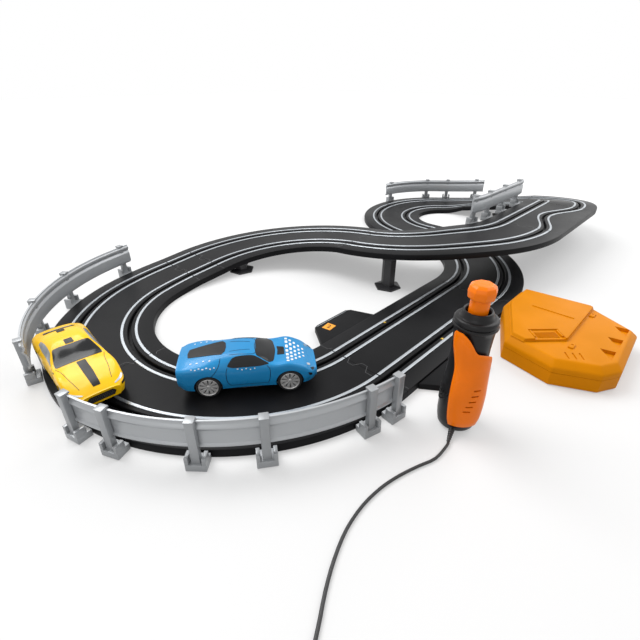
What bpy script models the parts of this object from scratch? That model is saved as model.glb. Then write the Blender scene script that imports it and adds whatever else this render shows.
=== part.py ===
"""Two-lane slot car track set: a figure of eight with a flyover, guard rails, two cars, a hand
controller and a battery box. Metres, +Z up, origin under the middle of the connection straight."""

import math
from collections import namedtuple

import bmesh
import bpy
import numpy as np
from mathutils import Matrix, Vector

# Clearance between pieces that touch
GAP = 0.0003

# Track section
TRACK_WIDTH = 0.100
DECK_HEIGHT = 0.007
DECK_PLATE = 0.0022
SKIRT_WALL = 0.0018
EDGE_CHAMFER = 0.0010
LANE_OFFSET = 0.026
SLOT_WIDTH = 0.0032
SLOT_DEPTH = 0.0048
SLOT_WALL = 0.0012
RAIL_OFFSET = 0.0069
RAIL_WIDTH = 0.0026
RAIL_THICKNESS = 0.0005
RAIL_SEAT = 0.0004

# Lap
CURVE_RADIUS = 0.154
REAR_RADIUS = 0.103
END_RADIUS = 0.078
CONNECTION_LENGTH = 0.2125
REAR_LEAD = 0.0175
EXIT_LENGTH = 0.0375
RISE_LENGTH = CURVE_RADIUS + REAR_LEAD - END_RADIUS
NARROW_LENGTH = CONNECTION_LENGTH + 2 * REAR_RADIUS - END_RADIUS - CURVE_RADIUS - EXIT_LENGTH
LANE_SWERVE = 0.022
FLYOVER_HEIGHT = 0.050
RAMP_EASE = 0.055
RISE_LEAD_DEG = 40
FALL_DELAY_DEG = 30
FALL_RUNOUT_DEG = 20
CURVE_STEPS = 6
FINE_STEPS = 10
SWERVE_STEPS = 8

# Power base
TERMINAL_HEIGHT = 0.0055
TERMINAL_DEPTH = 0.030
TERMINAL_ROOT = 0.084
TERMINAL_TIP = 0.052
TERMINAL_LEAN = 0.004
LEFT_TERMINAL_START = 0.003
RIGHT_TERMINAL_START = 0.016
COVER_THICKNESS = 0.0007

# Guard rails
GUARD_TOP = 0.041
GUARD_BEAM = 0.023
GUARD_SHEET = 0.0016
GUARD_RIDGE = 0.0015
GUARD_STAND_OFF = 0.0045
POST_WIDTH = 0.006
POST_DEPTH = 0.005
POST_CAP = 0.0015
FOOT_WIDTH = 0.016
FOOT_HEIGHT = 0.011
FOOT_REACH = 0.0130
FOOT_ROOT = 0.004
INNER_FOOT_CLEARANCE = 0.0009
BEAM_STEPS = 8

# Bridge supports
COLUMN_RADIUS = 0.0085
SUPPORT_BASE_RADIUS = 0.017
SUPPORT_BASE_HEIGHT = 0.004
SUPPORT_HEAD_RADIUS = 0.0115
SUPPORT_HEAD_HEIGHT = 0.003

# Cars
CAR_LENGTH = 0.110
CAR_WIDTH = 0.0445
CAR_HEIGHT = 0.034
WHEELBASE = 0.065
REAR_OVERHANG = 0.023
SHELL_WALL = 0.0012
GLASS_WALL = 0.0008
GLASS_SET_BACK = 0.0013
WHEEL_RADIUS = 0.010
WHEEL_WIDTH = 0.008
WHEEL_INSET = 0.0005
RIM_RADIUS = 0.0078
RIM_DISH = 0.0018
TYRE_EDGE = 0.0008
AXLE_RADIUS = 0.001
ARCH_CLEARANCE = 0.0012
CHASSIS_CLEARANCE = 0.0052
CHASSIS_PLATE = 0.0012
BOSS_RADIUS = 0.0020
REAR_BOSS = 0.0050
FRONT_BOSS = 0.0080
BEARING_WALL = 0.0018
MOTOR_RADIUS = 0.0062
MOTOR_LENGTH = 0.018
SHAFT_RADIUS = 0.0007
PINION_RADIUS = 0.0026
PINION_ROOT = 0.0017
PINION_WIDTH = 0.003
PINION_TEETH = 6
CROWN_TEETH = 18
CROWN_PLATE = 0.0014
CROWN_TOOTH = 0.0009
GEAR_MESH = 0.0004
GUIDE_AHEAD = 0.028
GUIDE_RADIUS = 0.0008
GUIDE_FLANGE = 0.003
GUIDE_FLANGE_HEIGHT = 0.001
GUIDE_FLOOR_CLEARANCE = 0.0012
YELLOW_ANGLE = 177
BLUE_ANGLE = 231

# Hand controller
HANDLE_HEIGHT = 0.099
HANDLE_WIDTH = 0.030
HANDLE_DEPTH = 0.028
BORE_RADIUS = 0.0080
BORE_DEPTH = 0.037
STEM_RADIUS = 0.0064
STEM_REACH = 0.0205
BUTTON_RADIUS = 0.0094
BUTTON_HEIGHT = 0.0105
PLUNGER_TRAVEL = 0.008
SPRING_RADIUS = 0.0045
SPRING_WIRE = 0.0004
SPRING_TURNS = 4
COVER_WALL = 0.0016
COVER_SEAT = 0.0009
COVER_LOW = 0.010
COVER_TOP = 0.080
CONTROLLER_PLACE = (0.0015, -0.0925)
CONTROLLER_TURN_DEG = 118
LEAD_TURN_DEG = 197
RELIEF_LENGTH = 0.011
RELIEF_RADIUS = 0.0024
RELIEF_HEIGHT = 0.0045

# Controller lead: 0.9 m of 2.2 mm cord, the shown run first and then the stored coil
CORD_RADIUS = 0.0011
CORD_ROUTE = (
    (-0.0420, -0.1010, 0.0012),
    (-0.0560, -0.0960, 0.0012),
    (-0.0720, -0.0910, 0.0012),
    (-0.0880, -0.0880, 0.0012),
    (-0.1060, -0.0875, 0.0012),
    (-0.1250, -0.0905, 0.0012),
    (-0.1430, -0.0970, 0.0012),
    (-0.1590, -0.1050, 0.0012),
    (-0.1740, -0.1140, 0.0012),
    (-0.1880, -0.1210, 0.0012),
)
CORD_SAMPLES = 2
COIL_CENTRE = (-0.2075, -0.1440)
COIL_OUTER = 0.0190
COIL_TURNS = 4
COIL_PITCH = 0.0030
COIL_POINTS = 20
COIL_TAIL = 0.022
PLUG_RADIUS = 0.0035
PLUG_BODY = 0.016
PLUG_PIN_RADIUS = 0.00175
PLUG_PIN = 0.012

# Battery box
BOX_PLACE = (0.160, -0.112)
BOX_OUTLINE = (
    (0.066, 0.0595),
    (0.018, 0.0595),
    (-0.050, 0.030),
    (-0.062, -0.0165),
    (-0.0455, -0.051),
    (-0.028, -0.061),
    (0.046, -0.058),
    (0.073, -0.012),
)
BOX_REACH = 0.06
BOX_SPLIT = 0.013
BOX_HEIGHT = 0.024
BOX_SHOULDER = 0.006
BOX_FLOOR = 0.0025
BAY_LOW = (-0.020, -0.006)
BAY_HIGH = (0.042, 0.032)
SEAM_Y = -0.0135
DOOR_CUT_X = -0.0198
DOOR_THICKNESS = 0.003
DOOR_TAPER = 0.0015
DOOR_RIB = 0.0008
DOOR_RIB_X = 0.022
DOOR_RIB_LENGTH = 0.040
DOOR_RIB_WIDTH = 0.0016
RECESS_LENGTH = 0.028
RECESS_WIDTH = 0.016
RECESS_DEPTH = 0.0014
RECESS_ALONG = 0.0155
LATCH_SIZE = (0.0085, 0.0045, 0.0014)
LATCH_PLACES = ((0.048, -0.0172), (-0.0265, -0.0195))
VENT_SIZE = (0.0100, 0.0014)
VENT_DEPTH = 0.0010
VENT_TURN_DEG = 36
VENT_PLACES = ((-0.0442, -0.0208), (-0.0408, -0.0259), (-0.0372, -0.0305))
GILL_SIZE = (0.0170, 0.0120)
GILL_DEPTH = 0.0022
GILL_PLACES = ((0.034, -0.0445), (0.008, -0.0445), (-0.018, -0.0445))

# Colours as red, green, blue, with roughness and metallic value
FINISHES = {
    "track_black": ((0.018, 0.018, 0.020), 0.42, 0.0),
    "rail_steel": ((0.70, 0.72, 0.74), 0.28, 1.0),
    "guard_silver": ((0.48, 0.50, 0.52), 0.38, 0.0),
    "support_black": ((0.020, 0.020, 0.022), 0.45, 0.0),
    "car_yellow": ((0.95, 0.62, 0.03), 0.25, 0.0),
    "car_blue": ((0.03, 0.22, 0.58), 0.25, 0.0),
    "tinted_window": ((0.03, 0.035, 0.04), 0.12, 0.0),
    "chassis_black": ((0.025, 0.025, 0.027), 0.50, 0.0),
    "tyre_rubber": ((0.030, 0.030, 0.032), 0.75, 0.0),
    "motor_steel": ((0.60, 0.60, 0.62), 0.30, 1.0),
    "gear_white": ((0.80, 0.79, 0.75), 0.45, 0.0),
    "brass": ((0.70, 0.50, 0.20), 0.30, 1.0),
    "handle_black": ((0.022, 0.022, 0.024), 0.40, 0.0),
    "handle_orange": ((0.90, 0.22, 0.01), 0.32, 0.0),
    "cord_black": ((0.020, 0.020, 0.020), 0.55, 0.0),
    "box_orange": ((0.92, 0.42, 0.02), 0.38, 0.0),
}

Run = namedtuple("Run", "length turn steps")
Section = namedtuple("Section", "name runs")


def new_collection(name):
    """A collection linked to the scene."""
    collection = bpy.data.collections.new(name)
    bpy.context.scene.collection.children.link(collection)
    return collection


def clear_scene():
    """Remove the objects that are already in the scene."""
    for obj in list(bpy.data.objects):
        bpy.data.objects.remove(obj, do_unlink=True)


clear_scene()
PARTS = new_collection("slot_car_track_set")
CUTTERS = new_collection("cutters")


def finish(name):
    """The named material, made once."""
    material = bpy.data.materials.get(name)
    if material is None:
        colour, roughness, metallic = FINISHES[name]
        material = bpy.data.materials.new(name)
        material.use_nodes = True
        shader = material.node_tree.nodes["Principled BSDF"]
        shader.inputs["Base Color"].default_value = (*colour, 1.0)
        shader.inputs["Roughness"].default_value = roughness
        shader.inputs["Metallic"].default_value = metallic
    return material


def empty(name, place, turn=0.0, parent=None):
    """An empty that carries pieces, turned about Z."""
    obj = bpy.data.objects.new(name, None)
    obj.location = place
    obj.rotation_euler = (0.0, 0.0, turn)
    obj.parent = parent
    PARTS.objects.link(obj)
    return obj


def add_object(name, data, finish_name, parent, place=(0.0, 0.0, 0.0), turn=(0.0, 0.0, 0.0)):
    """One named piece with its material, under its carrier."""
    obj = bpy.data.objects.new(name, data)
    obj.location = place
    obj.rotation_euler = turn
    obj.parent = parent
    data.materials.append(finish(finish_name))
    PARTS.objects.link(obj)
    return obj


def mesh_from(bm, name, smooth_angle=35):
    """A mesh data block from a bmesh, with its faces pointing out."""
    bmesh.ops.recalc_face_normals(bm, faces=bm.faces[:])
    mesh = bpy.data.meshes.new(name)
    bm.to_mesh(mesh)
    bm.free()
    mesh.shade_smooth()
    mesh.set_sharp_from_angle(angle=math.radians(smooth_angle))
    return mesh


def add_loft(bm, rings, around=False, open_ends=False):
    """Skin a row of rings with equal counts; the row may close on itself."""
    rows = [[bm.verts.new(point) for point in ring] for ring in rings]
    pairs = list(zip(rows, rows[1:]))
    if around:
        pairs.append((rows[-1], rows[0]))
    for low, high in pairs:
        for i in range(len(low)):
            j = (i + 1) % len(low)
            bm.faces.new((low[i], low[j], high[j], high[i]))
    if not around and not open_ends:
        bm.faces.new(rows[0])
        bm.faces.new(rows[-1])


def loft(name, rings, finish_name, parent, around=False, **placed):
    """A closed piece skinned over rings."""
    bm = bmesh.new()
    add_loft(bm, rings, around)
    return add_object(name, mesh_from(bm, name), finish_name, parent, **placed)


def add_prism(bm, points, reach):
    """Extrude a flat outline by a vector."""
    base = bm.faces.new([bm.verts.new(point) for point in points])
    made = bmesh.ops.extrude_face_region(bm, geom=[base])["geom"]
    moved = [item for item in made if isinstance(item, bmesh.types.BMVert)]
    bmesh.ops.translate(bm, verts=moved, vec=reach)


def add_box(bm, low, high):
    """A box between two corners."""
    low, high = Vector(low), Vector(high)
    scale = Matrix.Diagonal((*(high - low), 1.0))
    bmesh.ops.create_cube(bm, size=1.0, matrix=Matrix.Translation((low + high) / 2) @ scale)


def add_cutter(name, bm, parent=None, place=(0.0, 0.0, 0.0)):
    """A helper solid for Boolean work, kept out of the model."""
    bmesh.ops.recalc_face_normals(bm, faces=bm.faces[:])
    mesh = bpy.data.meshes.new(name)
    bm.to_mesh(mesh)
    bm.free()
    obj = bpy.data.objects.new(name, mesh)
    obj.parent = parent
    obj.location = place
    obj.hide_render = True
    obj.display_type = "WIRE"
    CUTTERS.objects.link(obj)
    return obj


def combine(obj, helper, operation):
    """Join a helper to a piece or cut it away."""
    modifier = obj.modifiers.new(helper.name, "BOOLEAN")
    modifier.operation = operation
    modifier.object = helper


def turned(name, profile, finish_name, parent, steps, place=(0, 0, 0), turn=(0, 0, 0)):
    """A turned piece: (radius, height) points from the top of its axis to the bottom."""
    mesh = bpy.data.meshes.new(name)
    points = [(radius, 0.0, height) for radius, height in profile]
    edges = [(i, i + 1) for i in range(len(points) - 1)]
    mesh.from_pydata(points, edges, [])
    obj = add_object(name, mesh, finish_name, parent, place, turn)
    screw = obj.modifiers.new("turn", "SCREW")
    screw.steps = steps
    screw.render_steps = steps
    screw.use_merge_vertices = True
    screw.merge_threshold = 0.00002
    screw.use_smooth_shade = True
    return obj


def tube(name, points, radius, finish_name, parent, sides_step):
    """A round tube along points, with filled ends."""
    curve = bpy.data.curves.new(name, "CURVE")
    curve.dimensions = "3D"
    curve.bevel_depth = radius
    curve.bevel_resolution = sides_step
    curve.use_fill_caps = True
    spline = curve.splines.new("POLY")
    spline.points.add(len(points) - 1)
    for item, point in zip(spline.points, points):
        item.co = (*point, 1.0)
    return add_object(name, curve, finish_name, parent)


def smooth_rows(rows, count):
    """Rows of numbers read at even steps from a smooth curve through the given rows."""
    rows = np.array(rows, float)
    padded = np.vstack([2 * rows[0] - rows[1], rows, 2 * rows[-1] - rows[-2]])
    made = []
    for place in np.linspace(0, len(rows) - 1, count):
        i = min(int(place), len(rows) - 2)
        t = place - i
        a, b, c, d = padded[i:i + 4]
        made.append(
            b + 0.5 * t * (c - a + t * (2 * a - 5 * b + 4 * c - d + t * (3 * (b - c) + d - a)))
        )
    return np.array(made)


# The lap


def straight(length, steps=1):
    return Run(length, 0.0, steps)


def bend(radius, degrees, side, steps=CURVE_STEPS):
    """A curve to the left (side 1) or to the right (side -1)."""
    return Run(radius * math.radians(degrees), side * math.radians(degrees), steps)


LAP = (
    Section("connection_straight", (straight(CONNECTION_LENGTH),)),
    Section("lower_curve", (bend(CURVE_RADIUS, 90, 1),)),
    Section("rear_curve_1", (straight(REAR_LEAD), bend(REAR_RADIUS, 90, -1))),
    Section("rear_curve_2", (bend(REAR_RADIUS, 90, -1),)),
    Section("rise_straight", (straight(RISE_LENGTH, 3),)),
    Section("end_curve", (bend(END_RADIUS, 90, -1, FINE_STEPS),)),
    Section("narrow_straight", (straight(NARROW_LENGTH, SWERVE_STEPS),)),
    Section("flyover_curve", (bend(CURVE_RADIUS, 90, -1, FINE_STEPS),)),
    Section("descent_curve", (bend(CURVE_RADIUS, 90, 1),)),
    Section("exit_straight", (straight(EXIT_LENGTH, 2),)),
    Section("front_curve_1", (bend(CURVE_RADIUS, 90, 1, FINE_STEPS),)),
    Section("front_curve_2", (bend(CURVE_RADIUS, 90, 1, FINE_STEPS),)),
)


def walk(pose, run, distance):
    """The (x, y, heading) pose that is a distance along a run."""
    x, y, heading = pose
    if run.turn == 0.0:
        return x + distance * math.cos(heading), y + distance * math.sin(heading), heading
    radius = run.length / run.turn
    after = heading + distance / radius
    return (
        x + radius * (math.sin(after) - math.sin(heading)),
        y - radius * (math.cos(after) - math.cos(heading)),
        after,
    )


def lay_lap():
    """Each run with its start pose and start distance, and each section's start and end."""
    pose, distance = (0.0, 0.0, 0.0), 0.0
    runs, spans = [], {}
    for section in LAP:
        begin = distance
        for run in section.runs:
            runs.append((distance, pose, run))
            pose = walk(pose, run, run.length)
            distance += run.length
        spans[section.name] = (begin, distance)
    return runs, spans, distance


LAP_RUNS, SPANS, LAP_LENGTH = lay_lap()
RISE_START = SPANS["rear_curve_2"][1] - REAR_RADIUS * math.radians(RISE_LEAD_DEG)
RISE_END = SPANS["end_curve"][1]
FALL_START = SPANS["flyover_curve"][0] + CURVE_RADIUS * math.radians(FALL_DELAY_DEG)
FALL_END = SPANS["front_curve_1"][0] + CURVE_RADIUS * math.radians(FALL_RUNOUT_DEG)


def pose_at(distance):
    """The pose on the centre line at a distance round the lap."""
    for begin, pose, run in reversed(LAP_RUNS):
        if distance >= begin:
            return walk(pose, run, distance - begin)
    begin, pose, run = LAP_RUNS[0]
    return walk(pose, run, distance - begin)


def eased(distance, length):
    """From 0 to 1 along a ramp whose slope grows and fades over its ease length."""
    distance = min(max(distance, 0.0), length)
    slope = 1.0 / (length - RAMP_EASE)
    left = length - distance
    if distance < RAMP_EASE:
        return slope * distance ** 2 / (2 * RAMP_EASE)
    if left < RAMP_EASE:
        return 1.0 - slope * left ** 2 / (2 * RAMP_EASE)
    return slope * (distance - RAMP_EASE / 2)


def level(distance):
    """The height of the track's underside at a distance round the lap."""
    rise = eased(distance - RISE_START, RISE_END - RISE_START)
    fall = eased(distance - FALL_START, FALL_END - FALL_START)
    return FLYOVER_HEIGHT * (rise - fall)


def on_track(distance, across, up):
    """A point given by distance round the lap, offset to the left and height over the underside."""
    x, y, heading = pose_at(distance)
    return Vector((
        x - across * math.sin(heading),
        y + across * math.cos(heading),
        level(distance) + up,
    ))


def lane_centre(side, distance):
    """A lane's offset: the left lane (side 1) swerves in on the narrow straight."""
    begin, end = SPANS["narrow_straight"]
    if side < 0 or not begin < distance < end:
        return side * LANE_OFFSET
    share = (distance - begin) / (end - begin)
    return LANE_OFFSET - LANE_SWERVE * math.sin(math.pi * share) ** 2


def stops(section):
    """Distances of a section's stations, drawn in a little at both ends."""
    begin, end = SPANS[section.name]
    marks, at = [begin + GAP / 2], begin
    for run in section.runs:
        marks += [at + run.length * i / run.steps for i in range(1, run.steps + 1)]
        at += run.length
    marks[-1] = end - GAP / 2
    return marks


def deck_outline(distance):
    """Cross-section of a track section: plate, skirts, slots and the channels under them."""
    half = TRACK_WIDTH / 2
    under = DECK_HEIGHT - DECK_PLATE
    floor = DECK_HEIGHT - SLOT_DEPTH
    points = [(half, 0.0), (half, DECK_HEIGHT - EDGE_CHAMFER), (half - EDGE_CHAMFER, DECK_HEIGHT)]
    lanes = [lane_centre(side, distance) for side in (1, -1)]
    slot, wall = SLOT_WIDTH / 2, SLOT_WIDTH / 2 + SLOT_WALL
    for lane in lanes:
        points += [(lane + slot, DECK_HEIGHT), (lane + slot, floor)]
        points += [(lane - slot, floor), (lane - slot, DECK_HEIGHT)]
    points += [(EDGE_CHAMFER - half, DECK_HEIGHT), (-half, DECK_HEIGHT - EDGE_CHAMFER)]
    points += [(-half, 0.0), (SKIRT_WALL - half, 0.0), (SKIRT_WALL - half, under)]
    for lane in reversed(lanes):
        points += [(lane - wall, under), (lane - wall, floor - SLOT_WALL)]
        points += [(lane + wall, floor - SLOT_WALL), (lane + wall, under)]
    points += [(half - SKIRT_WALL, under), (half - SKIRT_WALL, 0.0)]
    return points


def build_track(parent):
    for section in LAP:
        rings = [
            [on_track(stop, across, up) for across, up in deck_outline(stop)]
            for stop in stops(section)
        ]
        loft(section.name, rings, "track_black", parent)


def build_rails(parent):
    """Four conductor strips that run round the lap, with a break at the first joint."""
    low = DECK_HEIGHT + RAIL_SEAT
    marks = [0.0]
    for section in LAP:
        marks += stops(section)[1:-1] + [SPANS[section.name][1]]
    marks[0] += GAP
    marks[-1] -= GAP
    strips = (
        ("left_lane_outer_rail", 1, 1),
        ("left_lane_inner_rail", 1, -1),
        ("right_lane_inner_rail", -1, 1),
        ("right_lane_outer_rail", -1, -1),
    )
    for name, lane, side in strips:
        rings = []
        for mark in marks:
            middle = lane_centre(lane, mark) + side * RAIL_OFFSET
            ends = (middle + RAIL_WIDTH / 2, middle - RAIL_WIDTH / 2)
            low_edge = [on_track(mark, across, low) for across in ends]
            high_edge = [on_track(mark, across, low + RAIL_THICKNESS) for across in reversed(ends)]
            rings.append(low_edge + high_edge)
        loft(name, rings, "rail_steel", parent)


def build_power_base(parent):
    """The cover plate under the connection straight and a terminal on each side of it."""
    half = TRACK_WIDTH / 2
    inner = half - SKIRT_WALL - GAP
    bm = bmesh.new()
    add_box(bm, (GAP, -inner, 0.0), (CONNECTION_LENGTH - GAP, inner, COVER_THICKNESS))
    add_object("power_base_cover", mesh_from(bm, "power_base_cover"), "track_black", parent)
    sides = (("left_terminal", 1, LEFT_TERMINAL_START), ("right_terminal", -1, RIGHT_TERMINAL_START))
    for name, side, start in sides:
        tip_start = start + TERMINAL_LEAN + (TERMINAL_ROOT - TERMINAL_TIP) / 2
        outline = (
            (start, half + GAP),
            (start + TERMINAL_ROOT, half + GAP),
            (tip_start + TERMINAL_TIP, half + TERMINAL_DEPTH),
            (tip_start, half + TERMINAL_DEPTH),
        )
        bm = bmesh.new()
        add_prism(bm, [(x, side * y, 0.0) for x, y in outline], (0.0, 0.0, TERMINAL_HEIGHT))
        obj = add_object(name, mesh_from(bm, name), "track_black", parent)
        bevel = obj.modifiers.new("edge", "BEVEL")
        bevel.width = EDGE_CHAMFER
        bevel.segments = 1


def beam_outline():
    """Guard rail sheet with two ridges towards the track, as (stand-off, height)."""
    low = GUARD_TOP - GUARD_BEAM
    heights = [low + GUARD_BEAM * share for share in (0.0, 0.10, 0.58, 0.70, 0.80, 0.92, 1.0)]
    near = [GUARD_STAND_OFF + GUARD_RIDGE * (i in (0, 3, 6)) for i in range(len(heights))]
    face = list(zip(near, heights))
    return face + [(off + GUARD_SHEET, height) for off, height in reversed(face)]


def post_outlines(clearance):
    """Side views of a post: its upright with a cap, and the foot at the track's edge, with widths."""
    back = GUARD_STAND_OFF + GUARD_RIDGE + POST_DEPTH
    front = GUARD_STAND_OFF + GUARD_RIDGE + GUARD_SHEET / 2
    top = GUARD_TOP + POST_CAP
    upright = [(back, FOOT_ROOT), (back, top), (GUARD_STAND_OFF, top), (GUARD_STAND_OFF, GUARD_TOP)]
    upright += [(front, GUARD_TOP - POST_CAP), (front, FOOT_ROOT)]
    foot = [(clearance, 0.0), (FOOT_REACH, 0.0), (FOOT_REACH, FOOT_HEIGHT)]
    foot += [(front, FOOT_HEIGHT), (clearance, DECK_HEIGHT)]
    return (upright, POST_WIDTH), (foot, FOOT_WIDTH)


def add_post(bm, distance, side, clearance):
    """A post at a distance round the lap, on one side of the track."""
    heading = pose_at(distance)[2]
    along = Vector((math.cos(heading), math.sin(heading), 0.0))
    for outline, width in post_outlines(clearance):
        points = [
            on_track(distance, side * (TRACK_WIDTH / 2 + off), height) - along * width / 2
            for off, height in outline
        ]
        add_prism(bm, points, along * width)


def build_guard_rail(name, side, begin, end, posts, parent, clearance=GAP):
    """A beam along a stretch of the lap, joined with its posts."""
    half = TRACK_WIDTH / 2
    marks = np.linspace(begin, end, BEAM_STEPS + 1)
    rings = [
        [on_track(mark, side * (half + off), height) for off, height in beam_outline()]
        for mark in marks
    ]
    beam = loft(name, rings, "guard_silver", parent)
    bm = bmesh.new()
    for post in posts:
        add_post(bm, begin + (end - begin) * post, side, clearance)
    combine(beam, add_cutter(f"{name}_posts", bm, parent), "UNION")
    beam.modifiers[-1].use_self = True


def build_guard_rails(parent):
    """Each guard rail starts and ends at an angle, in degrees, into the curve that it borders."""
    front = SPANS["front_curve_1"][0]
    rear = SPANS["rear_curve_1"][0] + REAR_LEAD
    narrow = SPANS["narrow_straight"]

    def front_at(degrees):
        return front + CURVE_RADIUS * math.radians(degrees)

    def rear_at(degrees):
        return rear + REAR_RADIUS * math.radians(degrees)

    build_guard_rail("left_guard_rail", -1, front_at(11), front_at(80), (0.04, 0.39, 0.65, 0.96), parent)
    posts = (0.02, 0.16, 0.40, 0.58, 0.88, 0.98)
    build_guard_rail("front_guard_rail", -1, front_at(103), front_at(174), posts, parent)
    build_guard_rail("rear_guard_rail", 1, rear_at(98), rear_at(176), (0.075, 0.465, 0.66, 0.925), parent)
    posts = (0.06, 0.36, 0.64, 0.94)
    start, end = narrow[0] + 0.02, narrow[1] + 0.05
    build_guard_rail("flyover_guard_rail", -1, start, end, posts, parent, INNER_FOOT_CLEARANCE)


def build_support(name, distance, across, seat, parent):
    """A six-sided column with a flared base; its head follows the slope of the seat above it."""
    foot = on_track(distance, across, seat)
    heading = pose_at(distance)[2]
    head = SUPPORT_HEAD_RADIUS
    behind, ahead = (on_track(distance + way * head, across, seat) for way in (-1, 1))
    along = (ahead - behind) * Vector((1.0, 1.0, 0.0))
    slope = (ahead.z - behind.z) / along.length
    turn = abs(pose_at(distance + head)[2] - pose_at(distance - head)[2]) / along.length
    along.normalize()
    twist = abs(slope) * turn * head ** 2
    bow = max(foot.z - (ahead.z + behind.z) / 2, 0.0)
    top = foot.z - GAP - twist - bow
    head_low = max(top - SUPPORT_HEAD_HEIGHT, SUPPORT_BASE_HEIGHT)
    profile = (
        (SUPPORT_BASE_RADIUS, 0.0),
        (SUPPORT_BASE_RADIUS, SUPPORT_BASE_HEIGHT / 2),
        (COLUMN_RADIUS, SUPPORT_BASE_HEIGHT),
        (COLUMN_RADIUS, head_low),
        (head, head_low + (top - head_low) / 2),
        (head, top),
    )
    rings = []
    for radius, height in profile:
        ring = []
        for i in range(6):
            angle = heading + math.radians(60 * i)
            arm = Vector((math.cos(angle), math.sin(angle), 0.0)) * radius
            tilt = slope * arm.dot(along) if height > head_low else 0.0
            ring.append((foot.x + arm.x, foot.y + arm.y, height + tilt))
        rings.append(ring)
    loft(name, rings, "support_black", parent)


def build_supports(parent):
    """Supports stand where nothing runs below: angles are degrees into their curve."""
    near = TRACK_WIDTH / 2 - SUPPORT_HEAD_RADIUS
    flyover = SPANS["flyover_curve"][0] + CURVE_RADIUS * math.radians(70)
    descent = SPANS["descent_curve"][0] + CURVE_RADIUS * math.radians(74)
    narrow = SPANS["narrow_straight"][0] + NARROW_LENGTH * 0.35
    end = SPANS["end_curve"][0] + END_RADIUS * math.radians(45)
    rise = SPANS["rise_straight"][0] + RISE_LENGTH * 0.6
    plate = DECK_HEIGHT - DECK_PLATE
    channel = DECK_HEIGHT - SLOT_DEPTH - SLOT_WALL
    build_support("tall_support", flyover, near, 0.0, parent)
    build_support("low_support", descent, near, 0.0, parent)
    build_support("narrow_support", narrow, -LANE_OFFSET, channel, parent)
    build_support("end_support", end, 0.0, plate, parent)
    build_support("rise_support", rise, 0.0, plate, parent)


# Cars

# Body sections from tail to nose: share of the length, then (share of half width, share of height)
# at the sill, waist, belt line, roof edge and crown
YELLOW_BODY = (
    (0.00, 0.72, 0.26, 0.80, 0.40, 0.78, 0.660, 0.55, 0.720, 0.740),
    (0.06, 0.90, 0.22, 0.95, 0.40, 0.92, 0.700, 0.60, 0.770, 0.790),
    (0.17, 0.95, 0.21, 1.00, 0.42, 0.95, 0.745, 0.60, 0.900, 0.930),
    (0.30, 0.94, 0.20, 0.99, 0.42, 0.93, 0.730, 0.61, 0.970, 1.000),
    (0.45, 0.93, 0.20, 0.98, 0.42, 0.92, 0.710, 0.62, 0.960, 0.985),
    (0.60, 0.93, 0.20, 0.98, 0.42, 0.93, 0.700, 0.72, 0.760, 0.800),
    (0.70, 0.94, 0.20, 0.99, 0.42, 0.95, 0.715, 0.62, 0.735, 0.745),
    (0.80, 0.94, 0.20, 1.00, 0.42, 0.95, 0.715, 0.60, 0.710, 0.715),
    (0.90, 0.90, 0.21, 0.95, 0.40, 0.90, 0.600, 0.52, 0.620, 0.640),
    (0.96, 0.80, 0.22, 0.86, 0.38, 0.82, 0.500, 0.48, 0.545, 0.560),
    (1.00, 0.60, 0.24, 0.66, 0.36, 0.62, 0.460, 0.40, 0.490, 0.500),
)
BLUE_BODY = (
    (0.00, 0.74, 0.28, 0.84, 0.44, 0.82, 0.720, 0.55, 0.780, 0.800),
    (0.06, 0.90, 0.22, 0.97, 0.44, 0.94, 0.770, 0.60, 0.830, 0.850),
    (0.18, 0.95, 0.21, 1.00, 0.44, 0.96, 0.800, 0.60, 0.900, 0.920),
    (0.30, 0.92, 0.21, 0.97, 0.43, 0.91, 0.760, 0.58, 0.950, 0.970),
    (0.45, 0.90, 0.21, 0.95, 0.42, 0.88, 0.740, 0.60, 0.970, 1.000),
    (0.57, 0.90, 0.21, 0.95, 0.42, 0.89, 0.730, 0.64, 0.920, 0.950),
    (0.70, 0.93, 0.21, 0.98, 0.42, 0.94, 0.750, 0.66, 0.780, 0.800),
    (0.80, 0.95, 0.21, 1.00, 0.42, 0.96, 0.770, 0.66, 0.790, 0.750),
    (0.90, 0.92, 0.22, 0.97, 0.40, 0.92, 0.660, 0.58, 0.690, 0.680),
    (0.96, 0.82, 0.24, 0.90, 0.38, 0.86, 0.520, 0.50, 0.570, 0.570),
    (1.00, 0.60, 0.26, 0.68, 0.36, 0.64, 0.460, 0.42, 0.500, 0.510),
)
BODY_STATIONS = 15

# Window openings as shares of the length: rear screen, side windows and windscreen
YELLOW_WINDOWS = ((0.085, 0.165), (0.22, 0.50), (0.515, 0.625))
BLUE_WINDOWS = ((0.08, 0.27), (0.36, 0.56), (0.575, 0.68))
SIDE_WINDOW_HEIGHTS = (0.775, 0.905)
SCREEN_WIDTH = 0.56
GLASS_SPAN = 0.015
GLASS_LOW = 0.72
GLASS_WIDTH = 0.86

REAR_AXLE_X = -WHEELBASE / 2
FRONT_AXLE_X = WHEELBASE / 2
TAIL_X = REAR_AXLE_X - REAR_OVERHANG
WHEEL_OUTER = CAR_WIDTH / 2 - WHEEL_INSET
WHEEL_INNER = WHEEL_OUTER - WHEEL_WIDTH
BEARING_Y = WHEEL_INNER - GAP - BEARING_WALL
CROWN_FACE = -PINION_RADIUS + GEAR_MESH
CROWN_PITCH = (PINION_RADIUS + PINION_ROOT) / 2 * CROWN_TEETH / PINION_TEETH
CROWN_RADIUS = CROWN_PITCH + PINION_WIDTH / 2
MOTOR_START = REAR_AXLE_X + CROWN_RADIUS + 3 * GAP
MOTOR_END = MOTOR_START + MOTOR_LENGTH


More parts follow.
